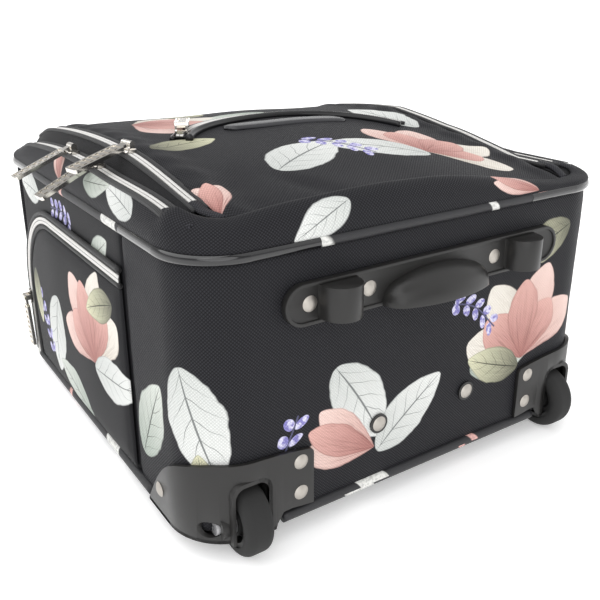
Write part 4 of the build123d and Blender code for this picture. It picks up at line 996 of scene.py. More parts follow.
def make_carry_handle():
    """Make the padded carry handle on the top, stitched down at its two ends"""
    half, height_z, wide, thick = 0.078, 0.108, 0.026, 0.004
    tab, rise = 0.020, 0.021
    foot = HEIGHT + 0.0002
    sides = 24
    xs = np.linspace(-half, half, 61)
    inner = half - tab
    radius = (inner**2 + rise**2) / (2 * rise)
    lift = np.where(np.abs(xs) < inner, rise - radius + chord(radius, xs), 0.0)
    lift = np.convolve(np.pad(lift, 2, mode="edge"), np.ones(5) / 5, mode="valid")
    along = np.column_stack((xs, foot + thick / 2 + lift, np.full(len(xs), height_z)))
    slope = unit(headings(along[:, :2]))
    normal = np.column_stack((-slope[:, 1], slope[:, 0], np.zeros(len(xs))))
    padding = 1 + 0.35 * smooth((inner - np.abs(xs)) / 0.02)
    rows = []
    for angle in np.linspace(0, 2 * math.pi, sides, endpoint=False):
        over, side = math.cos(angle), math.sin(angle)
        flat_side = math.copysign(abs(side) ** 0.45, side)
        flat_over = math.copysign(abs(over) ** 0.6, over)
        out = normal * (flat_over * thick / 2 * padding)[:, None]
        rows.append(along + out + np.array((0, 0, flat_side * wide / 2)))
    points = np.concatenate(rows)
    faces = skin_faces(sides, len(xs))
    strap = mesh_piece("carry_strap", points, faces, [points[spot, ::2] for face in faces for spot in face])
    work_out(strap.data)
    finish_piece(strap, "webbing")
    parts = [strap]
    for end in (-1, 1):
        for z in (-1, 1):
            seam_z = height_z + z * wide * 0.38
            line = np.array([(end * x, foot + thick, seam_z) for x in (half - 0.002, inner + 0.004)])
            seam = bars(f"strap_seam_{end}_{z}", line, "thread", 1, 0.003, 0.0003, 0.0021, up=(0, 1, 0))
            parts.append(seam)
    piece = join("carry_handle_strap", parts)
    dress(piece, "black_cloth", "carry_handle")


# Mouldings: the wheel housings and the foot bar, with the forms of their edges and feet


def block_out(name, grid):
    """Make a closed hard part from lines of points that lie side by side round it"""
    piece = mesh_piece(name, grid.reshape(-1, 3), skin_faces(*grid.shape[:2]))
    work_out(piece.data)
    return piece


def prism(name, outline, axis, low, high):
    """Draw an outline along an axis: its points give the two other axes in order"""
    grid = np.empty((len(outline), 2, 3))
    grid[..., [other for other in range(3) if other != axis]] = np.asarray(outline, float)[:, None]
    grid[..., axis] = low, high
    return block_out(name, grid)


def turned(name, profile, middle, sides=72):
    """Turn a profile of places along x and radii about an axle through a point"""
    along, radii = np.asarray(profile, float).T
    angles = np.linspace(0, 2 * math.pi, sides, endpoint=False)[:, None]
    grid = np.dstack((np.tile(along, (sides, 1)), radii * np.cos(angles), radii * np.sin(angles)))
    return block_out(name, grid + middle)


def carve(piece, tools, operation="DIFFERENCE"):
    """Cut a hard part with others, which stay"""
    for tool in tools:
        cut = piece.modifiers.new("Cut", "BOOLEAN")
        cut.operation = operation
        cut.solver = "EXACT"
        cut.object = tool
        solid(piece)
    return piece


def rounded_edges(piece, radius, angle=38):
    """Round a hard part's edges a little, as a mould leaves them"""
    bevel = piece.modifiers.new("Round", "BEVEL")
    bevel.width = radius
    bevel.segments = 2
    bevel.limit_method = "ANGLE"
    bevel.angle_limit = math.radians(angle)
    solid(piece)
    return piece


def moulding(name, parts, *nodes):
    """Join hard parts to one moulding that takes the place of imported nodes"""
    piece = join(name, parts)
    piece.data.shade_smooth()
    piece.data.set_sharp_from_angle(angle=math.radians(32))
    finish_piece(piece, "housing")
    return dress(piece, "housing_plastic", *nodes)


GUARD_OUT = 0.0029
GUARD_SEAT = 0.0002
GUARD_IN = 0.0960
GUARD_UP = 0.0720
GUARD_LOW = -0.0010
GUARD_ROUND = 0.004
GUARD_TOP_CURVE = np.polyfit((0.004, 0.022, 0.045, 0.088), (0.0504, 0.0530, 0.0548, 0.0565), 3)
GUARD_SIDE_CURVE = np.polyfit(
    (0.005, 0.025, 0.037, 0.056, 0.074), (0.0570, 0.0513, 0.0450, 0.0254, -0.0020), 4
)
NOTCH_LINE = (
    (-0.006, 0.0075),
    (0.0085, 0.0091),
    (0.017, 0.0103),
    (0.0233, 0.0100),
    (0.028, 0.0028),
    (0.030, -0.005),
    (-0.006, -0.005),
)
NOTCH_REACH = 0.0085
FLOOR_THICK = 0.0026
# Radius, width and rounding of the well and of the shell round it
WELL_DRUM = (0.032, 0.024, 0.007)
SHELL_DRUM = (0.0346, 0.0292, 0.0085)
BOSS_ENDS = (0.0135, 0.0195)
BOSS_R = 0.009
AXLE_HOLE_R = 0.0058


def guard_path():
    """Return the line of a housing's wall round its corner, with the directions out of the bag"""
    corner = sizes().corner
    near = GUARD_IN + GUARD_ROUND * (1 - np.cos(np.linspace(0, math.pi / 2, 7)))
    level = np.unique(np.concatenate((near, run(GUARD_IN, HALF - corner, 0.0015))))
    turns = np.linspace(0, math.pi / 2, 22)[1:-1]
    up = run(corner, GUARD_UP, 0.0015)
    turn = np.concatenate((0 * level, turns, np.full(len(up), math.pi / 2)))
    out = np.column_stack((np.sin(turn), -np.cos(turn)))
    across = np.concatenate((level, np.full(len(turns) + len(up), HALF - corner)))
    rise = np.concatenate((np.zeros(len(level) + len(turns)), up - corner))
    return np.column_stack((across, rise)) + corner * (out + (0, 1)), out


def drum_profile(radius, width, rim):
    """Return the profile of a drum with rounded rims"""
    turns = np.linspace(0, math.pi / 2, 9)
    left = np.column_stack((rim - width / 2 - rim * np.cos(turns), radius - rim + rim * np.sin(turns)))
    return np.concatenate((left, left[::-1] * (-1, 1)))


def make_housing(side, name):
    """Make one wheel housing: a guard round the corner, its floor, and the well that the wheel turns in"""
    path, out = guard_path()
    along = path[:, 0] - GUARD_IN
    past = np.clip(GUARD_ROUND - along, 0, GUARD_ROUND)
    top = np.polyval(GUARD_TOP_CURVE, np.maximum(along, GUARD_ROUND))
    top = top - GUARD_ROUND + chord(GUARD_ROUND, past)
    fall = np.polyval(GUARD_SIDE_CURVE, np.clip(path[:, 1], 0.005, 0.074))
    top = np.maximum(np.minimum(top, fall), GUARD_LOW + 0.0012)
    low = np.full(len(path), GUARD_LOW)
    outer, inner = path + out * GUARD_OUT, path + out * GUARD_SEAT
    lines = [np.column_stack(line) for line in ((outer, low), (outer, top), (inner, top), (inner, low))]
    guard = block_out(f"guard_{name}", np.array(lines) * (side, 1, 1))
    plan = np.concatenate((outer, ((GUARD_IN, GUARD_UP),))) * (side, 1)
    base = prism(f"base_{name}", plan, 2, GUARD_LOW, GUARD_LOW + FLOOR_THICK)
    middle = np.array(WHEEL_REST) * (side, 1, 1)
    inside = turned("well_inside", drum_profile(*WELL_DRUM), middle)
    shell = turned(f"well_{name}", drum_profile(*SHELL_DRUM), middle)
    sides = ((-GUARD_OUT, GUARD_LOW), (0.1, GUARD_LOW), (0.1, 0.1), (-GUARD_OUT, 0.1))
    room = prism("room", sides, 0, -0.3, 0.3)
    hole_ends = sorted((side * BOSS_ENDS[1], side * 0.05))
    axle_hole = turned("axle_hole", [(x, AXLE_HOLE_R) for x in hole_ends], middle, 32)
    notch = prism("notch", [(side * (GUARD_IN + x), z) for x, z in NOTCH_LINE], 1, -0.02, NOTCH_REACH)
    carve(guard, (inside, axle_hole, notch))
    carve(base, (inside, notch))
    carve(shell, (room,), "INTERSECT")
    carve(shell, (inside,))
    rounded_edges(guard, 0.0007)
    boss = turned(f"boss_{name}", [(x, BOSS_R) for x in sorted(side * end for end in BOSS_ENDS)], middle, 40)
    for tool in (inside, room, axle_hole, notch):
        bpy.data.objects.remove(tool)
    moulding(f"wheel_housing_{name}_moulding", [guard, base, shell, boss], f"wheel_housing_{name}")


BAR_HALF = 0.118
BAR_Z = 0.1505
BAR_TALL = 0.027
BAR_FACE = -0.0034
FOOT_OUT = 0.0200
FOOT_X = 0.0795
CUP_MOUTH_Z = 0.137
CUP_HALF = 0.045
CUP_REACH = 0.020
CUP_ARCH_R = 0.1075
SHOULDER_R = 0.015
SHOULDER_X = CUP_HALF - SHOULDER_R
SHOULDER_START = 0.034865
HOLLOW_HALF = 0.0426
HOLLOW_SHARE = 0.88


def slot_outline(half, tall):
    """Return a slot's outline about the foot bar's middle"""
    radius = tall / 2
    turns = np.linspace(-math.pi / 2, math.pi / 2, 25)
    right = np.column_stack((half - radius + radius * np.cos(turns), BAR_Z + radius * np.sin(turns)))
    left = np.column_stack((radius - half - radius * np.cos(turns), BAR_Z - radius * np.sin(turns)))
    return np.concatenate((right, left))


def foot_outline(x):
    """Return a foot's outline, seen from the front: a rounded nose that spreads where it joins the bar"""
    nose, base = 0.0136, 0.0150
    middle_y = nose - GUARD_SEAT - FOOT_OUT
    turns = np.linspace(0, math.pi, 33)
    points = [(x + nose * math.cos(t), middle_y - nose * math.sin(t)) for t in turns]
    rise = np.linspace(0, 1, 7)[1:]
    left = [(x - nose - (base - nose) * t * t, middle_y + (BAR_FACE + 0.001 - middle_y) * t) for t in rise]
    right = [
        (x + nose + (base - nose) * t * t, middle_y + (BAR_FACE + 0.001 - middle_y) * t) for t in rise[::-1]
    ]
    return points + left + right


def cup_reach(x):
    """Return how far the cup pull stands out of the bar: a low arch with rounded shoulders"""
    off = np.abs(x)
    arch = CUP_REACH - CUP_ARCH_R + chord(CUP_ARCH_R, np.minimum(off, 0.04))
    shoulder = chord(SHOULDER_R, off - SHOULDER_X)
    return np.where(off > SHOULDER_START, shoulder, arch)


def make_cup(reach_at, half, name):
    """Make the quarter-round solid of the cup pull: it closes on the bar and at its mouth"""
    xs = half * np.sin(np.linspace(-math.pi / 2, math.pi / 2, 61))
    turns = np.linspace(0, math.pi / 2, 19)
    depth = np.maximum(reach_at(xs), 0.00005)
    ends = [(depth * math.cos(t), depth * math.sin(t)) for t in turns] + [(0 * xs, 0 * xs)]
    rows = [np.column_stack((xs, BAR_FACE - out, CUP_MOUTH_Z + up)) for out, up in ends]
    return block_out(name, np.array(rows))


def make_foot_bar():
    """Make the foot bar with its raised rim, its two feet and the cup pull"""
    bar = prism("bar", slot_outline(BAR_HALF, BAR_TALL), 1, BAR_FACE - 0.0016, -GUARD_SEAT)
    recess = prism("recess", slot_outline(BAR_HALF - 0.0024, BAR_TALL - 0.0048), 1, -0.03, BAR_FACE)
    carve(bar, (recess,))
    rounded_edges(bar, 0.0005)
    parts = [bar]
    for sign in (-1, 1):
        foot = prism(f"foot_{sign}", foot_outline(sign * FOOT_X), 2, BAR_Z - 0.011, BAR_Z + 0.011)
        parts.append(rounded_edges(foot, 0.0018, 50))
    cup = make_cup(cup_reach, CUP_HALF, "cup")
    hollow = make_cup(lambda x: cup_reach(x * CUP_HALF / HOLLOW_HALF) * HOLLOW_SHARE, HOLLOW_HALF, "hollow")
    hollow.location = TURN @ np.array((0.0, 0.0, -0.0008))
    carve(cup, (hollow,))
    parts.append(rounded_edges(cup, 0.0005, 60))
    for tool in (recess, hollow):
        bpy.data.objects.remove(tool)
    moulding("foot_bar_moulding", parts, "foot_bar")


# The print's motifs


def turned_place(tree, given):
    """Return how far along and across a motif a point of the cloth lies"""
    shifted = put(tree, "ShaderNodeVectorMath", given["Place"], given["Centre"], operation="SUBTRACT")
    spun = put(tree, "ShaderNodeVectorRotate", rotation_type="Z_AXIS", invert=True)
    feed(tree, spun, {"Vector": shifted.outputs[0], "Angle": given["Angle"]})
    split = put(tree, "ShaderNodeSeparateXYZ", spun.outputs[0]).outputs
    return calc(tree, "DIVIDE", split[0], given["Length"]), calc(tree, "DIVIDE", split[1], given["Width"])


MOTIF_OUTS = (("Colour", "Color"), ("Place", "Vector"))
MOTIF_SOCKETS = (
    ("Place", "Vector"),
    ("Centre", "Vector"),
    ("Angle", "Float"),
    ("Length", "Float"),
    ("Width", "Float"),
    ("Bend", "Float"),
    ("Tip", "Float"),
    ("Veins", "Float"),
    ("Under", "Color"),
    ("Base", "Color"),
    ("Far", "Color"),
    ("Line", "Color"),
)
EDGE_BLUR = 0.0005


def finished(tree, given, result, colour):
    """Hand on a motif's colour, and the place with a trace of it, so that Cycles works out the next
    motif after this one"""
    trace = (1e-9, 1e-9, 1e-9)
    chained = put(tree, "ShaderNodeVectorMath", colour, trace, given["Place"], operation="MULTIPLY_ADD")
    give(tree, result["Colour"], colour)
    give(tree, result["Place"], chained.outputs[0])
    return tree


def petal_group():
    """Make the group that draws one petal or one veined leaf over a colour"""
    tree, given, result = group("Petal", MOTIF_SOCKETS, MOTIF_OUTS)
    u, across = turned_place(tree, given)
    held = calc(tree, "MULTIPLY", u, 1.0, clamp=True)
    arch = times(tree, held, minus(tree, 1.0, held))
    v = minus(tree, across, times(tree, arch, given["Bend"]))
    rough_edge = noise(tree, given["Place"], 70.0, 2.0)
    shifted = calc(tree, "POWER", held, given["Tip"])
    width = calc(tree, "POWER", calc(tree, "SINE", times(tree, shifted, math.pi)), 0.72)
    width = times(tree, width, plus(tree, times(tree, rough_edge, 0.26), 0.84))
    reach_in = minus(tree, width, calc(tree, "ABSOLUTE", v))
    inside = times(tree, reach_in, given["Width"])
    mask = times(tree, fade(tree, inside, -EDGE_BLUR, EDGE_BLUR), fade(tree, u, 0.0, 0.015))
    mask = times(tree, mask, fade(tree, u, 1.0, 0.985))
    share = calc(tree, "DIVIDE", v, calc(tree, "MAXIMUM", width, 0.05))
    off = calc(tree, "ABSOLUTE", share)
    side_vein = minus(tree, times(tree, u, 5.5), times(tree, off, 1.5))
    side_vein = plus(tree, side_vein, times(tree, rough_edge, 0.35))
    gap = calc(tree, "ABSOLUTE", minus(tree, calc(tree, "FRACT", side_vein), 0.5))
    side_line = times(tree, fade(tree, gap, 0.035, 0.012), fade(tree, off, 1.0, 0.2, 0.15, 1.0))
    rib = fade(tree, off, 0.05, 0.02)
    leaf_line = calc(tree, "MAXIMUM", side_line, rib)
    grain_place = put(tree, "ShaderNodeCombineXYZ", times(tree, share, 9.0), u, given["Angle"]).outputs[0]
    grain = noise(tree, grain_place, 1.3, 3.0, 0.6)
    fine = noise(tree, grain_place, 3.4, 2.0, 0.6)
    streak = times(tree, fade(tree, grain, 0.5, 0.68), fade(tree, u, 1.0, 0.1, 0.15, 1.0))
    streak = calc(tree, "MAXIMUM", streak, times(tree, fade(tree, fine, 0.56, 0.66), 0.45))
    lines = put(tree, "ShaderNodeMix", given["Veins"], data_type="FLOAT")
    give(tree, lines.inputs[2], streak)
    give(tree, lines.inputs[3], leaf_line)
    line = times(tree, lines.outputs[0], 0.82)
    far = calc(tree, "ADD", times(tree, grain, 0.5), minus(tree, u, 0.3), clamp=True)
    shade = mixed(tree, far, given["Base"], given["Far"])
    drawn = mixed(tree, line, shade, given["Line"])
    rim = times(tree, fade(tree, inside, 0.0011, 0.0004), 0.35)
    drawn = mixed(tree, rim, drawn, given["Line"])
    coloured = mixed(tree, mask, given["Under"], drawn)
    return finished(tree, given, result, coloured)


def sprig_group():
    """Make the group that draws a sprig: a thin stem with pairs of small florets"""
    tree, given, result = group("Sprig", MOTIF_SOCKETS, MOTIF_OUTS)
    u, across = turned_place(tree, given)
    bend = times(tree, calc(tree, "SINE", times(tree, u, 4.0)), given["Bend"])
    off = calc(tree, "ABSOLUTE", minus(tree, across, bend))
    cell = minus(tree, calc(tree, "FRACT", times(tree, u, 5.0)), 0.5)
    jitter = times(tree, minus(tree, noise(tree, given["Place"], 130.0, 2.0), 0.5), 1.5)
    along = plus(tree, plus(tree, cell, times(tree, off, -0.35)), 0.16)
    wide = minus(tree, off, 0.5)
    along = calc(tree, "POWER", calc(tree, "DIVIDE", along, 0.36), 2.0)
    wide = calc(tree, "POWER", calc(tree, "DIVIDE", wide, 0.46), 2.0)
    round_off = plus(tree, along, wide)
    floret = fade(tree, plus(tree, round_off, jitter), 1.05, 0.85)
    ends = times(tree, fade(tree, u, 0.0, 0.02), fade(tree, u, 1.0, 0.98))
    floret = times(tree, floret, ends)
    stem = times(tree, fade(tree, off, 0.09, 0.05), ends)
    mottle = fade(tree, noise(tree, given["Place"], 260.0, 2.0), 0.4, 0.62)
    shade = mixed(tree, mottle, given["Base"], given["Far"])
    stemmed = mixed(tree, stem, given["Under"], given["Line"])
    coloured = mixed(tree, floret, stemmed, shade)
    return finished(tree, given, result, coloured)


def motif(tree, kind, place_on, under, spot, angle, length, width, tints, bend=0.0, tip=1.0, veins=0.0):
    """Draw one motif over a colour and return the new colour and the place for the next motif.
    Sizes are in metres, the angle in degrees"""
    made = tree.nodes.new("ShaderNodeGroup")
    made.node_tree = bpy.data.node_groups.get(kind) or (petal_group() if kind == "Petal" else sprig_group())
    values = {
        "Place": place_on,
        "Centre": (*spot, 0.0),
        "Angle": math.radians(angle),
        "Length": length,
        "Width": width,
        "Bend": bend,
        "Tip": tip,
        "Veins": veins,
        "Under": under,
    }
    feed(tree, made, values)
    feed(tree, made, {label: tone(tint) for label, tint in zip(("Base", "Far", "Line"), tints)})
    return made.outputs["Colour"], made.outputs["Place"]


# The print: a generic design of leaves, blossoms and sprigs of the builder's own

LEAF_WHITE = ((0.60, 0.62, 0.60), (0.80, 0.81, 0.79), (0.10, 0.11, 0.11))
LEAF_SAGE = ((0.40, 0.45, 0.40), (0.70, 0.73, 0.68), (0.03, 0.035, 0.03))
LEAF_CREAM = ((0.16, 0.16, 0.12), (0.74, 0.73, 0.52), (0.02, 0.02, 0.018))
PINK = ((0.42, 0.19, 0.17), (0.78, 0.47, 0.42), (0.20, 0.08, 0.07))
PINK_PALE = ((0.62, 0.38, 0.34), (0.88, 0.68, 0.62), (0.30, 0.14, 0.13))
CREAM = ((0.66, 0.60, 0.52), (0.86, 0.82, 0.75), (0.25, 0.18, 0.15))
LAVENDER = ((0.24, 0.22, 0.52), (0.72, 0.70, 0.88), (0.10, 0.10, 0.18))


def leaf(spot, angle, length, colours=LEAF_WHITE, bend=0.25, plump=0.26):
    """Say where one veined leaf lies"""
    return [("Petal", spot, angle, length, length * plump, colours, bend, 0.85, 1.0)]


def blossom(spot, angle, size, pale=False):
    """Say where one open blossom lies: paler petals behind and pink ones in front"""
    back = (CREAM, PINK_PALE) if pale else (PINK_PALE, CREAM)
    made = []
    for index, turn in enumerate((-62, 58, -24, 22)):
        long, bend = size * (0.92 if index > 1 else 0.78), 0.5 * (-1) ** index
        made.append(("Petal", spot, angle + turn, long, size * 0.21, back[index % 2], bend, 1.6, 0.0))
    for index, turn in enumerate((-40, 38, -6)):
        long, bend = size * (0.62 + 0.08 * index), 0.35 * (-1) ** index
        made.append(("Petal", spot, angle + turn, long, size * 0.2, PINK, bend, 1.5, 0.0))
    return made


def bud(spot, angle, size):
    """Say where one closed bud lies"""
    petals = ((-14, PINK_PALE), (14, PINK_PALE), (0, PINK))
    return [("Petal", spot, angle + turn, size, size * 0.2, tints, 0.2, 1.3, 0.0) for turn, tints in petals]


def sprig(spot, angle, length):
    """Say where one sprig of florets lies"""
    return [("Sprig", spot, angle, length, length * 0.17, LAVENDER, 0.5, 1.0, 0.0)]


PRINTS = {
    "print_front": (
        leaf((-0.080, 0.062), 30, 0.086, bend=0.5)
        + leaf((0.020, 0.250), 200, 0.078, LEAF_SAGE)
        + blossom((-0.105, 0.245), -20, 0.082)
        + leaf((-0.052, 0.262), 58, 0.066, LEAF_CREAM)
        + blossom((0.052, 0.068), 35, 0.088, True)
        + leaf((0.052, 0.062), 150, 0.080, LEAF_WHITE, -0.5)
        + leaf((0.118, 0.150), 100, 0.082)
        + leaf((-0.135, 0.135), 15, 0.058, LEAF_CREAM)
        + sprig((-0.028, 0.118), -50, 0.060)
        + leaf((0.110, 0.310), 170, 0.080, LEAF_WHITE, 0.4)
        + sprig((0.010, 0.300), 20, 0.060)
        + bud((-0.145, 0.020), 75, 0.036)
    ),
    "print_bottom": (
        leaf((0.178, 0.100), -58, 0.074, LEAF_WHITE, 0.4, 0.28)
        + leaf((0.300, 0.062), 14, 0.078, LEAF_SAGE, -0.4)
        + blossom((0.355, 0.058), 98, 0.084)
        + leaf((0.352, 0.052), 160, 0.058, LEAF_CREAM)
        + bud((0.212, 0.030), 152, 0.062)
        + leaf((0.214, 0.026), 38, 0.072, LEAF_WHITE)
        + leaf((0.070, 0.118), -72, 0.080, LEAF_WHITE, -0.3, 0.28)
        + leaf((0.090, 0.012), 100, 0.050, LEAF_CREAM)
        + sprig((0.140, 0.018), 84, 0.058)
        + sprig((0.278, 0.120), -28, 0.052)
        + bud((0.448, 0.120), -100, 0.070)
        + leaf((0.452, 0.020), 75, 0.068, LEAF_WHITE)
        + leaf((0.012, 0.030), 62, 0.074, LEAF_SAGE)
        + leaf((0.395, 0.160), -160, 0.060, LEAF_CREAM)
    ),
    "print_pocket": (
        blossom((0.150, 0.070), 75, 0.080)
        + leaf((0.152, 0.066), 175, 0.066, LEAF_WHITE)
        + leaf((0.228, 0.096), -70, 0.082, LEAF_WHITE, 0.4)
        + leaf((0.112, 0.128), -20, 0.050, LEAF_CREAM)
        + sprig((0.268, 0.030), 70, 0.060)
        + leaf((0.180, 0.010), 20, 0.070, LEAF_SAGE)
        + leaf((0.300, 0.100), -100, 0.050, LEAF_CREAM)
    ),
    "print_left": (
        leaf((0.180, 0.168), 4, 0.050, LEAF_WHITE)
        + leaf((0.060, 0.150), 150, 0.040, LEAF_SAGE)
        + sprig((0.100, 0.160), 10, 0.05)
    ),
    "print_right": (
        blossom((0.070, 0.060), 60, 0.085)
        + leaf((0.066, 0.060), 150, 0.080, LEAF_WHITE)
        + leaf((0.150, 0.110), -20, 0.080, LEAF_SAGE)
        + blossom((0.205, 0.050), 120, 0.070, True)
        + leaf((0.030, 0.150), -20, 0.060, LEAF_CREAM)
        + sprig((0.120, 0.030), 70, 0.060)
    ),
    "print_top": (
        leaf((0.100, 0.130), -50, 0.080, LEAF_WHITE)
        + blossom((0.330, 0.120), -110, 0.080)
        + leaf((0.334, 0.124), 170, 0.070, LEAF_SAGE)
        + leaf((0.040, 0.040), 60, 0.070, LEAF_CREAM)
        + sprig((0.250, 0.140), 10, 0.060)
        + leaf((0.400, 0.020), 80, 0.070, LEAF_WHITE)
    ),
    "print_band": (
        leaf((0.030, 0.012), 12, 0.050, LEAF_WHITE)
        + leaf((0.118, 0.016), 170, 0.044, LEAF_SAGE)
        + bud((0.165, 0.004), 60, 0.030)
        + leaf((1.245, 0.020), -25, 0.046, LEAF_WHITE)
        + bud((1.080, 0.006), 30, 0.045)
        + leaf((0.940, 0.010), 15, 0.052, LEAF_WHITE)
        + leaf((0.600, 0.014), 10, 0.050, LEAF_SAGE)
    ),
    "print_back": (),
}


# Materials


def weave_group():
    """Make the group for the cloth's fine brick weave: its height, and the painted shading that makes its
    raised threads lighter and its hollows darker
    """
    tree, given, result = group(
        "Weave", (("Place", "Vector"), ("Pitch", "Float")), (("Height", "Float"), ("Painted shading", "Float"))
    )
    split = put(tree, "ShaderNodeSeparateXYZ", given["Place"]).outputs
    across = calc(tree, "DIVIDE", split[0], given["Pitch"])
    up = calc(tree, "DIVIDE", split[1], given["Pitch"])
    slant = times(tree, plus(tree, across, up), math.pi)
    other = times(tree, minus(tree, across, up), math.pi)
    ridges = [calc(tree, "ABSOLUTE", calc(tree, "SINE", line)) for line in (slant, other)]
    height = times(tree, *ridges)
    thread = calc(tree, "SINE", times(tree, plus(tree, across, up), 6 * math.pi))
    raised = plus(tree, height, times(tree, thread, 0.08))
    give(tree, result["Height"], raised)
    # Painted shading: 0 in the weave's hollows, 1 on its raised threads
    give(tree, result["Painted shading"], fade(tree, raised, 0.1, 0.75))
    return tree


class Finish(bpy.types.PropertyGroup):
    """Colours of the bag's finishes"""

    cloth: colour_setting("Cloth", "Black of the printed cloth", (0.015, 0.015, 0.0175))
    side_cloth: colour_setting("Side cloth", "Black of the smoother side cloth", (0.007, 0.007, 0.0085))
    trim: colour_setting("Trim", "Black of bindings, tabs and webbing", (0.007, 0.007, 0.008))
    silver: colour_setting("Zip silver", "Silver of the zips' coils", (0.60, 0.60, 0.585))
    nickel: colour_setting("Nickel", "Plated metal of rivets and pulls", (0.50, 0.47, 0.43))
    housing: colour_setting("Housing", "Dark grey of the moulded parts", (0.017, 0.0165, 0.016))
    rubber: colour_setting("Rubber", "Black of the tyres", (0.005, 0.005, 0.005))


def colours():
    """Return the scene's finishes"""
    return bpy.context.scene.bag_finish


def new_material(name):
    """Start a material and return its tree and its shader"""
    made = bpy.data.materials.new(name)
    made.use_nodes = True
    return made, made.node_tree, made.node_tree.nodes["Principled BSDF"]


def cloth_place(tree):
    """Return a point's place on its cloth, in metres"""
    return put(tree, "ShaderNodeUVMap", uv_map="cloth").outputs[0]


def object_place(tree):
    """Return a point's place on the object, in metres"""
    return put(tree, "ShaderNodeTexCoord").outputs["Object"]


def bump(tree, shader, height, strength, distance):
    """Raise a surface by a height"""
    made = put(tree, "ShaderNodeBump")
    feed(tree, made, {"Strength": strength, "Distance": distance, "Height": height})
    feed(tree, shader, {"Normal": made.outputs[0]})


def woven(name, base, pitch, drawn=(), strength=0.5, light=1.7):
    """Make a woven cloth, with a print over its colour. The weave's raised threads are painted lighter and
    its hollows darker, a painted highlight and painted shade; light says how much lighter the raised threads
    are painted
    """
    made, tree, shader = new_material(name)
    spot = cloth_place(tree)
    weave = tree.nodes.new("ShaderNodeGroup")
    weave.node_tree = bpy.data.node_groups.get("Weave") or weave_group()
    feed(tree, weave, {"Place": spot, "Pitch": pitch})
    wear = noise(tree, spot, 24.0, 3.0)
    height, shade = weave.outputs["Height"], weave.outputs["Painted shading"]
    # Painted highlight and shade: the colour runs from a darker copy in the weave's hollows to a lighter copy
    # on its raised threads
    colour = mixed(tree, shade, tone(base, 0.62), tone(base, light))
    colour = mixed(tree, times(tree, wear, 0.25), colour, tone(base, light))
    drawn_on = spot
    for kind, *rest in drawn:
        colour, drawn_on = motif(tree, kind, drawn_on, colour, *rest)
    if drawn:
        # Painted shade in the weave's hollows, laid over the print
        painted_weave_shade = mixed(tree, shade, (0.80, 0.80, 0.80, 1), (1.0, 1.0, 1.0, 1))
        colour = mixed(tree, 1.0, colour, painted_weave_shade, "MULTIPLY")
    rough = fade(tree, height, 0.0, 0.9, 0.66, 0.46)
    feed(tree, shader, {"Base Color": colour, "Roughness": rough, "Specular IOR Level": 0.12})
    feed(tree, shader, {"Sheen Weight": 0.03, "Sheen Roughness": 0.4})
    bump(tree, shader, height, strength, pitch * 0.16)
    return made


def moulded(name, base, roughness, grain=0.12, coat=0.0, grain_scale=1400.0, gloss=0.25):
    """Make a moulded plastic or rubber with a fine grain and slightly uneven shine"""
    made, tree, shader = new_material(name)
    spot = object_place(tree)
    cloud = noise(tree, spot, 26.0, 4.0)
    rough = fade(tree, cloud, 0.3, 0.7, roughness - 0.07, roughness + 0.07)
    feed(
        tree, shader,
        {"Base Color": mixed(tree, cloud, tone(base, 0.8), tone(base, 1.25)), "Roughness": rough}
    )
    feed(tree, shader, {"Specular IOR Level": gloss, "Coat Weight": coat, "Coat Roughness": 0.08})
    bump(tree, shader, noise(tree, spot, grain_scale, 2.0), grain, 0.0002)
    return made


def metal(name, base, roughness, streak=0.05):
    """Make a plated metal with faint handling marks"""
    made, tree, shader = new_material(name)
    spot = object_place(tree)
    cloud = noise(tree, spot, 180.0, 4.0, 0.6)
    rough = fade(tree, cloud, 0.3, 0.7, roughness, roughness + 0.12)
    feed(tree, shader, {"Base Color": mixed(tree, cloud, tone(base, 0.82), tone(base)), "Roughness": rough})
    feed(tree, shader, {"Metallic": 1.0})
    bump(tree, shader, noise(tree, spot, 900.0, 2.0), streak, 0.0001)
    return made


def piping_cloth(name):
    """Make the piping's cover: black cloth cut across the print, so white and pink pieces turn up along it"""
    made, tree, shader = new_material(name)
    spot = cloth_place(tree)
    split = put(tree, "ShaderNodeSeparateXYZ", spot).outputs
    slant = plus(tree, split[0], times(tree, split[1], 0.6))
    along = put(tree, "ShaderNodeCombineXYZ", slant, 0.0, 0.0).outputs[0]
    patch = noise(tree, along, 21.0, 1.0, 0.4)
    tint = noise(tree, along, 8.0, 0.0)
    light = mixed(tree, fade(tree, tint, 0.5, 0.52), (0.72, 0.72, 0.69, 1), (0.72, 0.42, 0.38, 1))
    streaks = fade(tree, noise(tree, spot, 420.0, 3.0), 0.45, 0.6, 1.0, 0.72)
    lit = mixed(tree, 1.0, light, streaks, "MULTIPLY")
    colour = mixed(tree, fade(tree, patch, 0.60, 0.612), tone(colours().cloth), lit)
    feed(tree, shader, {"Base Color": colour, "Roughness": 0.5})
    threads = calc(tree, "SINE", times(tree, slant, 2 * math.pi / 0.0011))
    bump(tree, shader, threads, 0.25, 0.0002)
    return made


def ribbed(name, base, rib, roughness=0.62):
    """Make a tape or webbing with ribs across it. The ribs are painted lighter and the grooves between them
    darker, a painted highlight and painted shade
    """
    made, tree, shader = new_material(name)
    split = put(tree, "ShaderNodeSeparateXYZ", cloth_place(tree)).outputs
    rows = calc(tree, "SINE", times(tree, split[0], 2 * math.pi / rib))
    cross = calc(tree, "SINE", times(tree, split[1], 2 * math.pi / (rib * 1.4)))
    height = times(tree, rows, plus(tree, times(tree, cross, 0.35), 0.65))
    # Painted highlight and shade: a darker copy of the colour in the grooves, a lighter copy on the ribs
    colour = mixed(tree, fade(tree, height, -0.8, 0.8), tone(base, 0.6), tone(base, 1.6))
    feed(tree, shader, {"Base Color": colour, "Roughness": roughness, "Sheen Weight": 0.1})
    bump(tree, shader, height, 0.5, 0.0003)
    return made


WEAVE_PITCH = 0.0023
FINE_PITCH = 0.0012


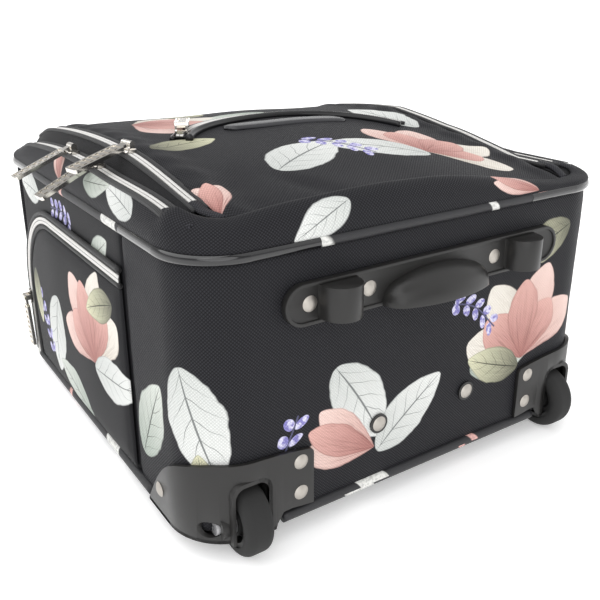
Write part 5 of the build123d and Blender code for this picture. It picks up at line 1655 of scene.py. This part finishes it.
def make_material(name):
    """Make a finish by its name"""
    tint = colours()
    cloth, side, trim = tuple(tint.cloth), tuple(tint.side_cloth), tuple(tint.trim)
    if name in PRINTS:
        smooth_side = name in ("print_left", "print_pocket", "print_right")
        base, pitch = (side, FINE_PITCH) if smooth_side else (cloth, WEAVE_PITCH)
        return woven(name, base, pitch, PRINTS[name], strength=0.3 if smooth_side else 0.55)
    made = {
        "black_weave": lambda: woven(name, trim, FINE_PITCH),
        # The tabs' weave has a stronger painted highlight on its raised threads
        "tab_weave": lambda: woven(name, cloth, 0.0021, strength=0.7, light=2.6),
        "zip_tape": lambda: ribbed(name, trim, 0.0011),
        "zip_silver": lambda: metal(name, tuple(tint.silver), 0.34),
        # Darker base under the coil: partly the darker tape and cord under it, partly painted shade in the
        # gaps between turns
        "zip_core_and_gap_shade": lambda: metal(name, tuple(c * 0.42 for c in tint.silver), 0.5),
        "thread": lambda: ribbed(name, (0.035, 0.035, 0.036), 0.0007),
        "binding": lambda: ribbed(name, trim, 0.0014),
        "webbing": lambda: ribbed(name, trim, 0.0022),
        "vinyl_roll": lambda: moulded(name, trim, 0.32, coat=0.25),
        "patch": lambda: moulded(name, cloth, 0.36, grain=0.3, coat=0.2, grain_scale=700.0),
        "piping_print": lambda: piping_cloth(name),
        "guard": lambda: moulded(name, (0.004, 0.004, 0.005), 0.12, grain=0.02, coat=0.6, gloss=0.5),
        "nickel": lambda: metal(name, tuple(tint.nickel), 0.30),
        "rivet": lambda: metal(name, tuple(c * 1.05 for c in tint.nickel), 0.44),
        "housing": lambda: moulded(name, tuple(tint.housing), 0.38, grain=0.15, gloss=0.4),
        "wheel": lambda: moulded(name, (0.018, 0.018, 0.018), 0.38),
        "tyre": lambda: moulded(name, tuple(tint.rubber), 0.24, grain=0.05, coat=0.25, gloss=0.5),
        "steel": lambda: metal(name, (0.30, 0.30, 0.30), 0.4),
        "handle": lambda: metal(name, (0.42, 0.42, 0.43), 0.32),
        "plastic": lambda: moulded(name, (0.02, 0.02, 0.021), 0.4),
        "board": lambda: moulded(name, (0.12, 0.11, 0.10), 0.7),
    }[name]
    return made()


def material(name):
    """Return a finish by its name, made once"""
    return bpy.data.materials.get(name) or make_material(name)


ZIP_NAMES = ("front_pocket", "inner_zip", "outer_zip_far", "outer_zip_near", "side_pocket")
HARD_PARTS = {
    "guard": ("corner_guards",),
    "rivet": ("housing_rivets", "foot_bar_rivets", "handle_studs"),
    "nickel": tuple(f"{part}_{zip_name}" for part in ("pull", "slider") for zip_name in ZIP_NAMES),
    "housing": ("stud_washers",),
    "wheel": ("wheel_hub_left", "wheel_hub_right"),
    "tyre": ("tyre_left", "tyre_right"),
    "steel": (
        "axle_left", "axle_right", "wheel_bearings_left", "wheel_bearings_right", "push_rods",
        "lock_pin_left", "lock_pin_right", "wire_frame",
    ),
    "handle": ("inner_tubes", "middle_tubes", "outer_tubes"),
    "plastic": ("handle_grip", "handle_bezel", "middle_collars", "grip_button", "foot_bracket"),
    "board": ("back_board", "bottom_board"),
}


def paint_hard_parts():
    """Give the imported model's own parts their finishes"""
    for finish, nodes in HARD_PARTS.items():
        for node in nodes:
            finish_piece(frame["nodes"][node], finish)


# The stage


# The camera's place and angles in the bag's own frame, and its lens in pixels of the photograph
EYE = (-0.336202, -0.347052, 0.322814)
EYE_YAW = 33.192
EYE_PITCH = 20.761
EYE_ROLL = -0.287
FOCAL_PIXELS = 764.126
IMAGE_PIXELS = 600
IMAGE_MIDDLE = (293.574, 281.219)
FLOOR_REACH = 150.0
# Each light's name, the direction that it shines from, its strength and its spread in degrees
SUNS = (
    ("key", (-0.45, 0.25, 1.0), 1.9, 75),
    ("front", (-0.5, -1.0, 0.75), 1.15, 60),
    ("side", (1.0, -0.3, 0.9), 0.7, 75),
)


def make_camera():
    """Set the camera where the photograph was taken from"""
    yaw, pitch, roll = (math.radians(a) for a in (EYE_YAW, EYE_PITCH, EYE_ROLL))
    ahead = np.array((math.sin(yaw) * math.cos(pitch), math.cos(yaw) * math.cos(pitch), -math.sin(pitch)))
    right = np.array((math.cos(yaw), -math.sin(yaw), 0.0))
    up = np.cross(right, ahead)
    tilted = math.cos(roll) * right + math.sin(roll) * up
    upright = -math.sin(roll) * right + math.cos(roll) * up
    data = bpy.data.cameras.new("camera")
    data.sensor_width = 36.0
    data.lens = FOCAL_PIXELS / IMAGE_PIXELS * data.sensor_width
    data.shift_x = (IMAGE_PIXELS / 2 - IMAGE_MIDDLE[0]) / IMAGE_PIXELS
    data.shift_y = (IMAGE_MIDDLE[1] - IMAGE_PIXELS / 2) / IMAGE_PIXELS
    axes = np.column_stack([TURN @ axis for axis in (tilted, upright, -ahead)])
    matrix = Matrix([[*axes[row], 0.0] for row in range(3)] + [[0.0, 0.0, 0.0, 1.0]])
    matrix.translation = Vector(place(EYE))
    camera = linked("camera", data)
    camera.matrix_world = matrix
    bpy.context.scene.camera = camera


def make_sun(name, place_at, strength, spread):
    """Set a wide soft light that shines from a direction"""
    data = bpy.data.lights.new(name, "SUN")
    data.energy = strength
    data.angle = math.radians(spread)
    light = linked(name, data)
    light.location = place_at
    light.rotation_mode = "QUATERNION"
    light.rotation_quaternion = (-Vector(place_at)).to_track_quat("-Z", "Y")


def make_stage():
    """Set the floor, the pale surroundings and the lights"""
    mesh = bpy.data.meshes.new("floor")
    corners = [(x * FLOOR_REACH, y * FLOOR_REACH, 0) for x, y in ((-1, -1), (1, -1), (1, 1), (-1, 1))]
    mesh.from_pydata(corners, [], [(0, 1, 2, 3)])
    floor = linked("floor", mesh)
    white = bpy.data.materials.new("floor_white")
    white.use_nodes = True
    shader = white.node_tree.nodes["Principled BSDF"]
    shader.inputs["Base Color"].default_value = (0.93, 0.93, 0.93, 1)
    shader.inputs["Roughness"].default_value = 0.9
    shader.inputs["Specular IOR Level"].default_value = 0.1
    shader.inputs["Emission Color"].default_value = (1, 1, 1, 1)
    shader.inputs["Emission Strength"].default_value = 0.28
    mesh.materials.append(white)
    world = bpy.data.worlds.new("studio")
    bpy.context.scene.world = world
    world.use_nodes = True
    sky = world.node_tree
    height = put(sky, "ShaderNodeSeparateXYZ", put(sky, "ShaderNodeTexCoord").outputs["Generated"]).outputs[2]
    give(sky, sky.nodes["Background"].inputs["Strength"], fade(sky, height, 0.03, 0.4, 1.15, 0.42))
    sky.nodes["Background"].inputs["Color"].default_value = (1, 1, 1, 1)
    bpy.context.scene.view_settings.view_transform = "Standard"
    for sun in SUNS:
        make_sun(*sun)


# Operators: one for each piece or group of like pieces, and one for the stage


class BAG_OT_stage(bpy.types.Operator):
    """Set the camera, the floor, the white surroundings and the lights"""

    bl_idname = "bag.stage"
    bl_label = "Stage"

    def execute(self, context):
        """Run the operator"""
        make_camera()
        make_stage()
        return {"FINISHED"}


class BAG_OT_hard_parts(bpy.types.Operator):
    """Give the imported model's own parts their finishes"""

    bl_idname = "bag.hard_parts"
    bl_label = "Hard parts"

    def execute(self, context):
        """Run the operator"""
        paint_hard_parts()
        return {"FINISHED"}


class BAG_OT_mouldings(bpy.types.Operator):
    """Make the two wheel housings and the foot bar with its feet and cup pull"""

    bl_idname = "bag.mouldings"
    bl_label = "Mouldings"

    def execute(self, context):
        """Run the operator"""
        make_housing(-1, "left")
        make_housing(1, "right")
        make_foot_bar()
        return {"FINISHED"}


class BAG_OT_body(bpy.types.Operator):
    """Make the printed cloth of the four walls and the back"""

    bl_idname = "bag.body"
    bl_label = "Body cloth"

    def execute(self, context):
        """Run the operator"""
        make_walls()
        make_back()
        return {"FINISHED"}


class BAG_OT_front(bpy.types.Operator):
    """Make the front's band, crowned panel, gusset and lower corners"""

    bl_idname = "bag.front"
    bl_label = "Front cloth"

    def execute(self, context):
        """Run the operator"""
        make_band()
        make_front()
        make_gusset()
        make_corners()
        return {"FINISHED"}


class BAG_OT_long_zips(bpy.types.Operator):
    """Make the two long zips and the rolls that edge them"""

    bl_idname = "bag.long_zips"
    bl_label = "Long zips"

    def execute(self, context):
        """Run the operator"""
        make_long_zips()
        make_bindings()
        return {"FINISHED"}


class BAG_OT_front_pocket(bpy.types.Operator):
    """Make the front pocket's zip and rolls and the bare padded patch under it"""

    bl_idname = "bag.front_pocket"
    bl_label = "Front pocket"

    def execute(self, context):
        """Run the operator"""
        make_front_pocket()
        make_name_patch()
        return {"FINISHED"}


class BAG_OT_side_pocket(bpy.types.Operator):
    """Make the side pocket's panel, zip and bindings"""

    bl_idname = "bag.side_pocket"
    bl_label = "Side pocket"

    def execute(self, context):
        """Run the operator"""
        make_side_pocket()
        return {"FINISHED"}


class BAG_OT_piping(bpy.types.Operator):
    """Make the covered piping of the front and the back"""

    bl_idname = "bag.piping"
    bl_label = "Piping"

    def execute(self, context):
        """Run the operator"""
        make_piping()
        return {"FINISHED"}


class BAG_OT_carry_handle(bpy.types.Operator):
    """Make the padded carry handle on the top"""

    bl_idname = "bag.carry_handle"
    bl_label = "Carry handle"

    def execute(self, context):
        """Run the operator"""
        make_carry_handle()
        return {"FINISHED"}


OPERATORS = (
    BAG_OT_stage,
    BAG_OT_hard_parts,
    BAG_OT_mouldings,
    BAG_OT_body,
    BAG_OT_front,
    BAG_OT_long_zips,
    BAG_OT_front_pocket,
    BAG_OT_side_pocket,
    BAG_OT_piping,
    BAG_OT_carry_handle,
)


class BAG_PT_panel(bpy.types.Panel):
    """List the bag's sizes, finishes and pieces in the sidebar"""

    bl_idname = "BAG_PT_panel"
    bl_label = "Carry-on bag"
    bl_space_type = "VIEW_3D"
    bl_region_type = "UI"
    bl_category = "Bag"

    def draw(self, context):
        """Draw the panel"""
        for heading, values in (("Sizes", context.scene.bag_sizes), ("Finishes", context.scene.bag_finish)):
            box = self.layout.box()
            box.label(text=heading)
            for key in values.bl_rna.properties.keys():
                if key not in ("rna_type", "name"):
                    box.prop(values, key)
        for piece in OPERATORS:
            self.layout.operator(piece.bl_idname)


CLASSES = (BagSizes, Finish, *OPERATORS, BAG_PT_panel)


def register():
    """Register the classes and hang the settings on the scene"""
    for piece in CLASSES:
        bpy.utils.register_class(piece)
    bpy.types.Scene.bag_sizes = bpy.props.PointerProperty(type=BagSizes)
    bpy.types.Scene.bag_finish = bpy.props.PointerProperty(type=Finish)


def unregister():
    """Take the settings off the scene and unregister the classes"""
    del bpy.types.Scene.bag_finish
    del bpy.types.Scene.bag_sizes
    for piece in reversed(CLASSES):
        bpy.utils.unregister_class(piece)


def main():
    """Dress the bag and set the stage"""
    register()
    bpy.ops.bag.stage()
    bpy.ops.bag.hard_parts()
    bpy.ops.bag.mouldings()
    bpy.ops.bag.body()
    bpy.ops.bag.front()
    bpy.ops.bag.long_zips()
    bpy.ops.bag.front_pocket()
    bpy.ops.bag.side_pocket()
    bpy.ops.bag.piping()
    bpy.ops.bag.carry_handle()


if __name__ == "__main__":
    main()
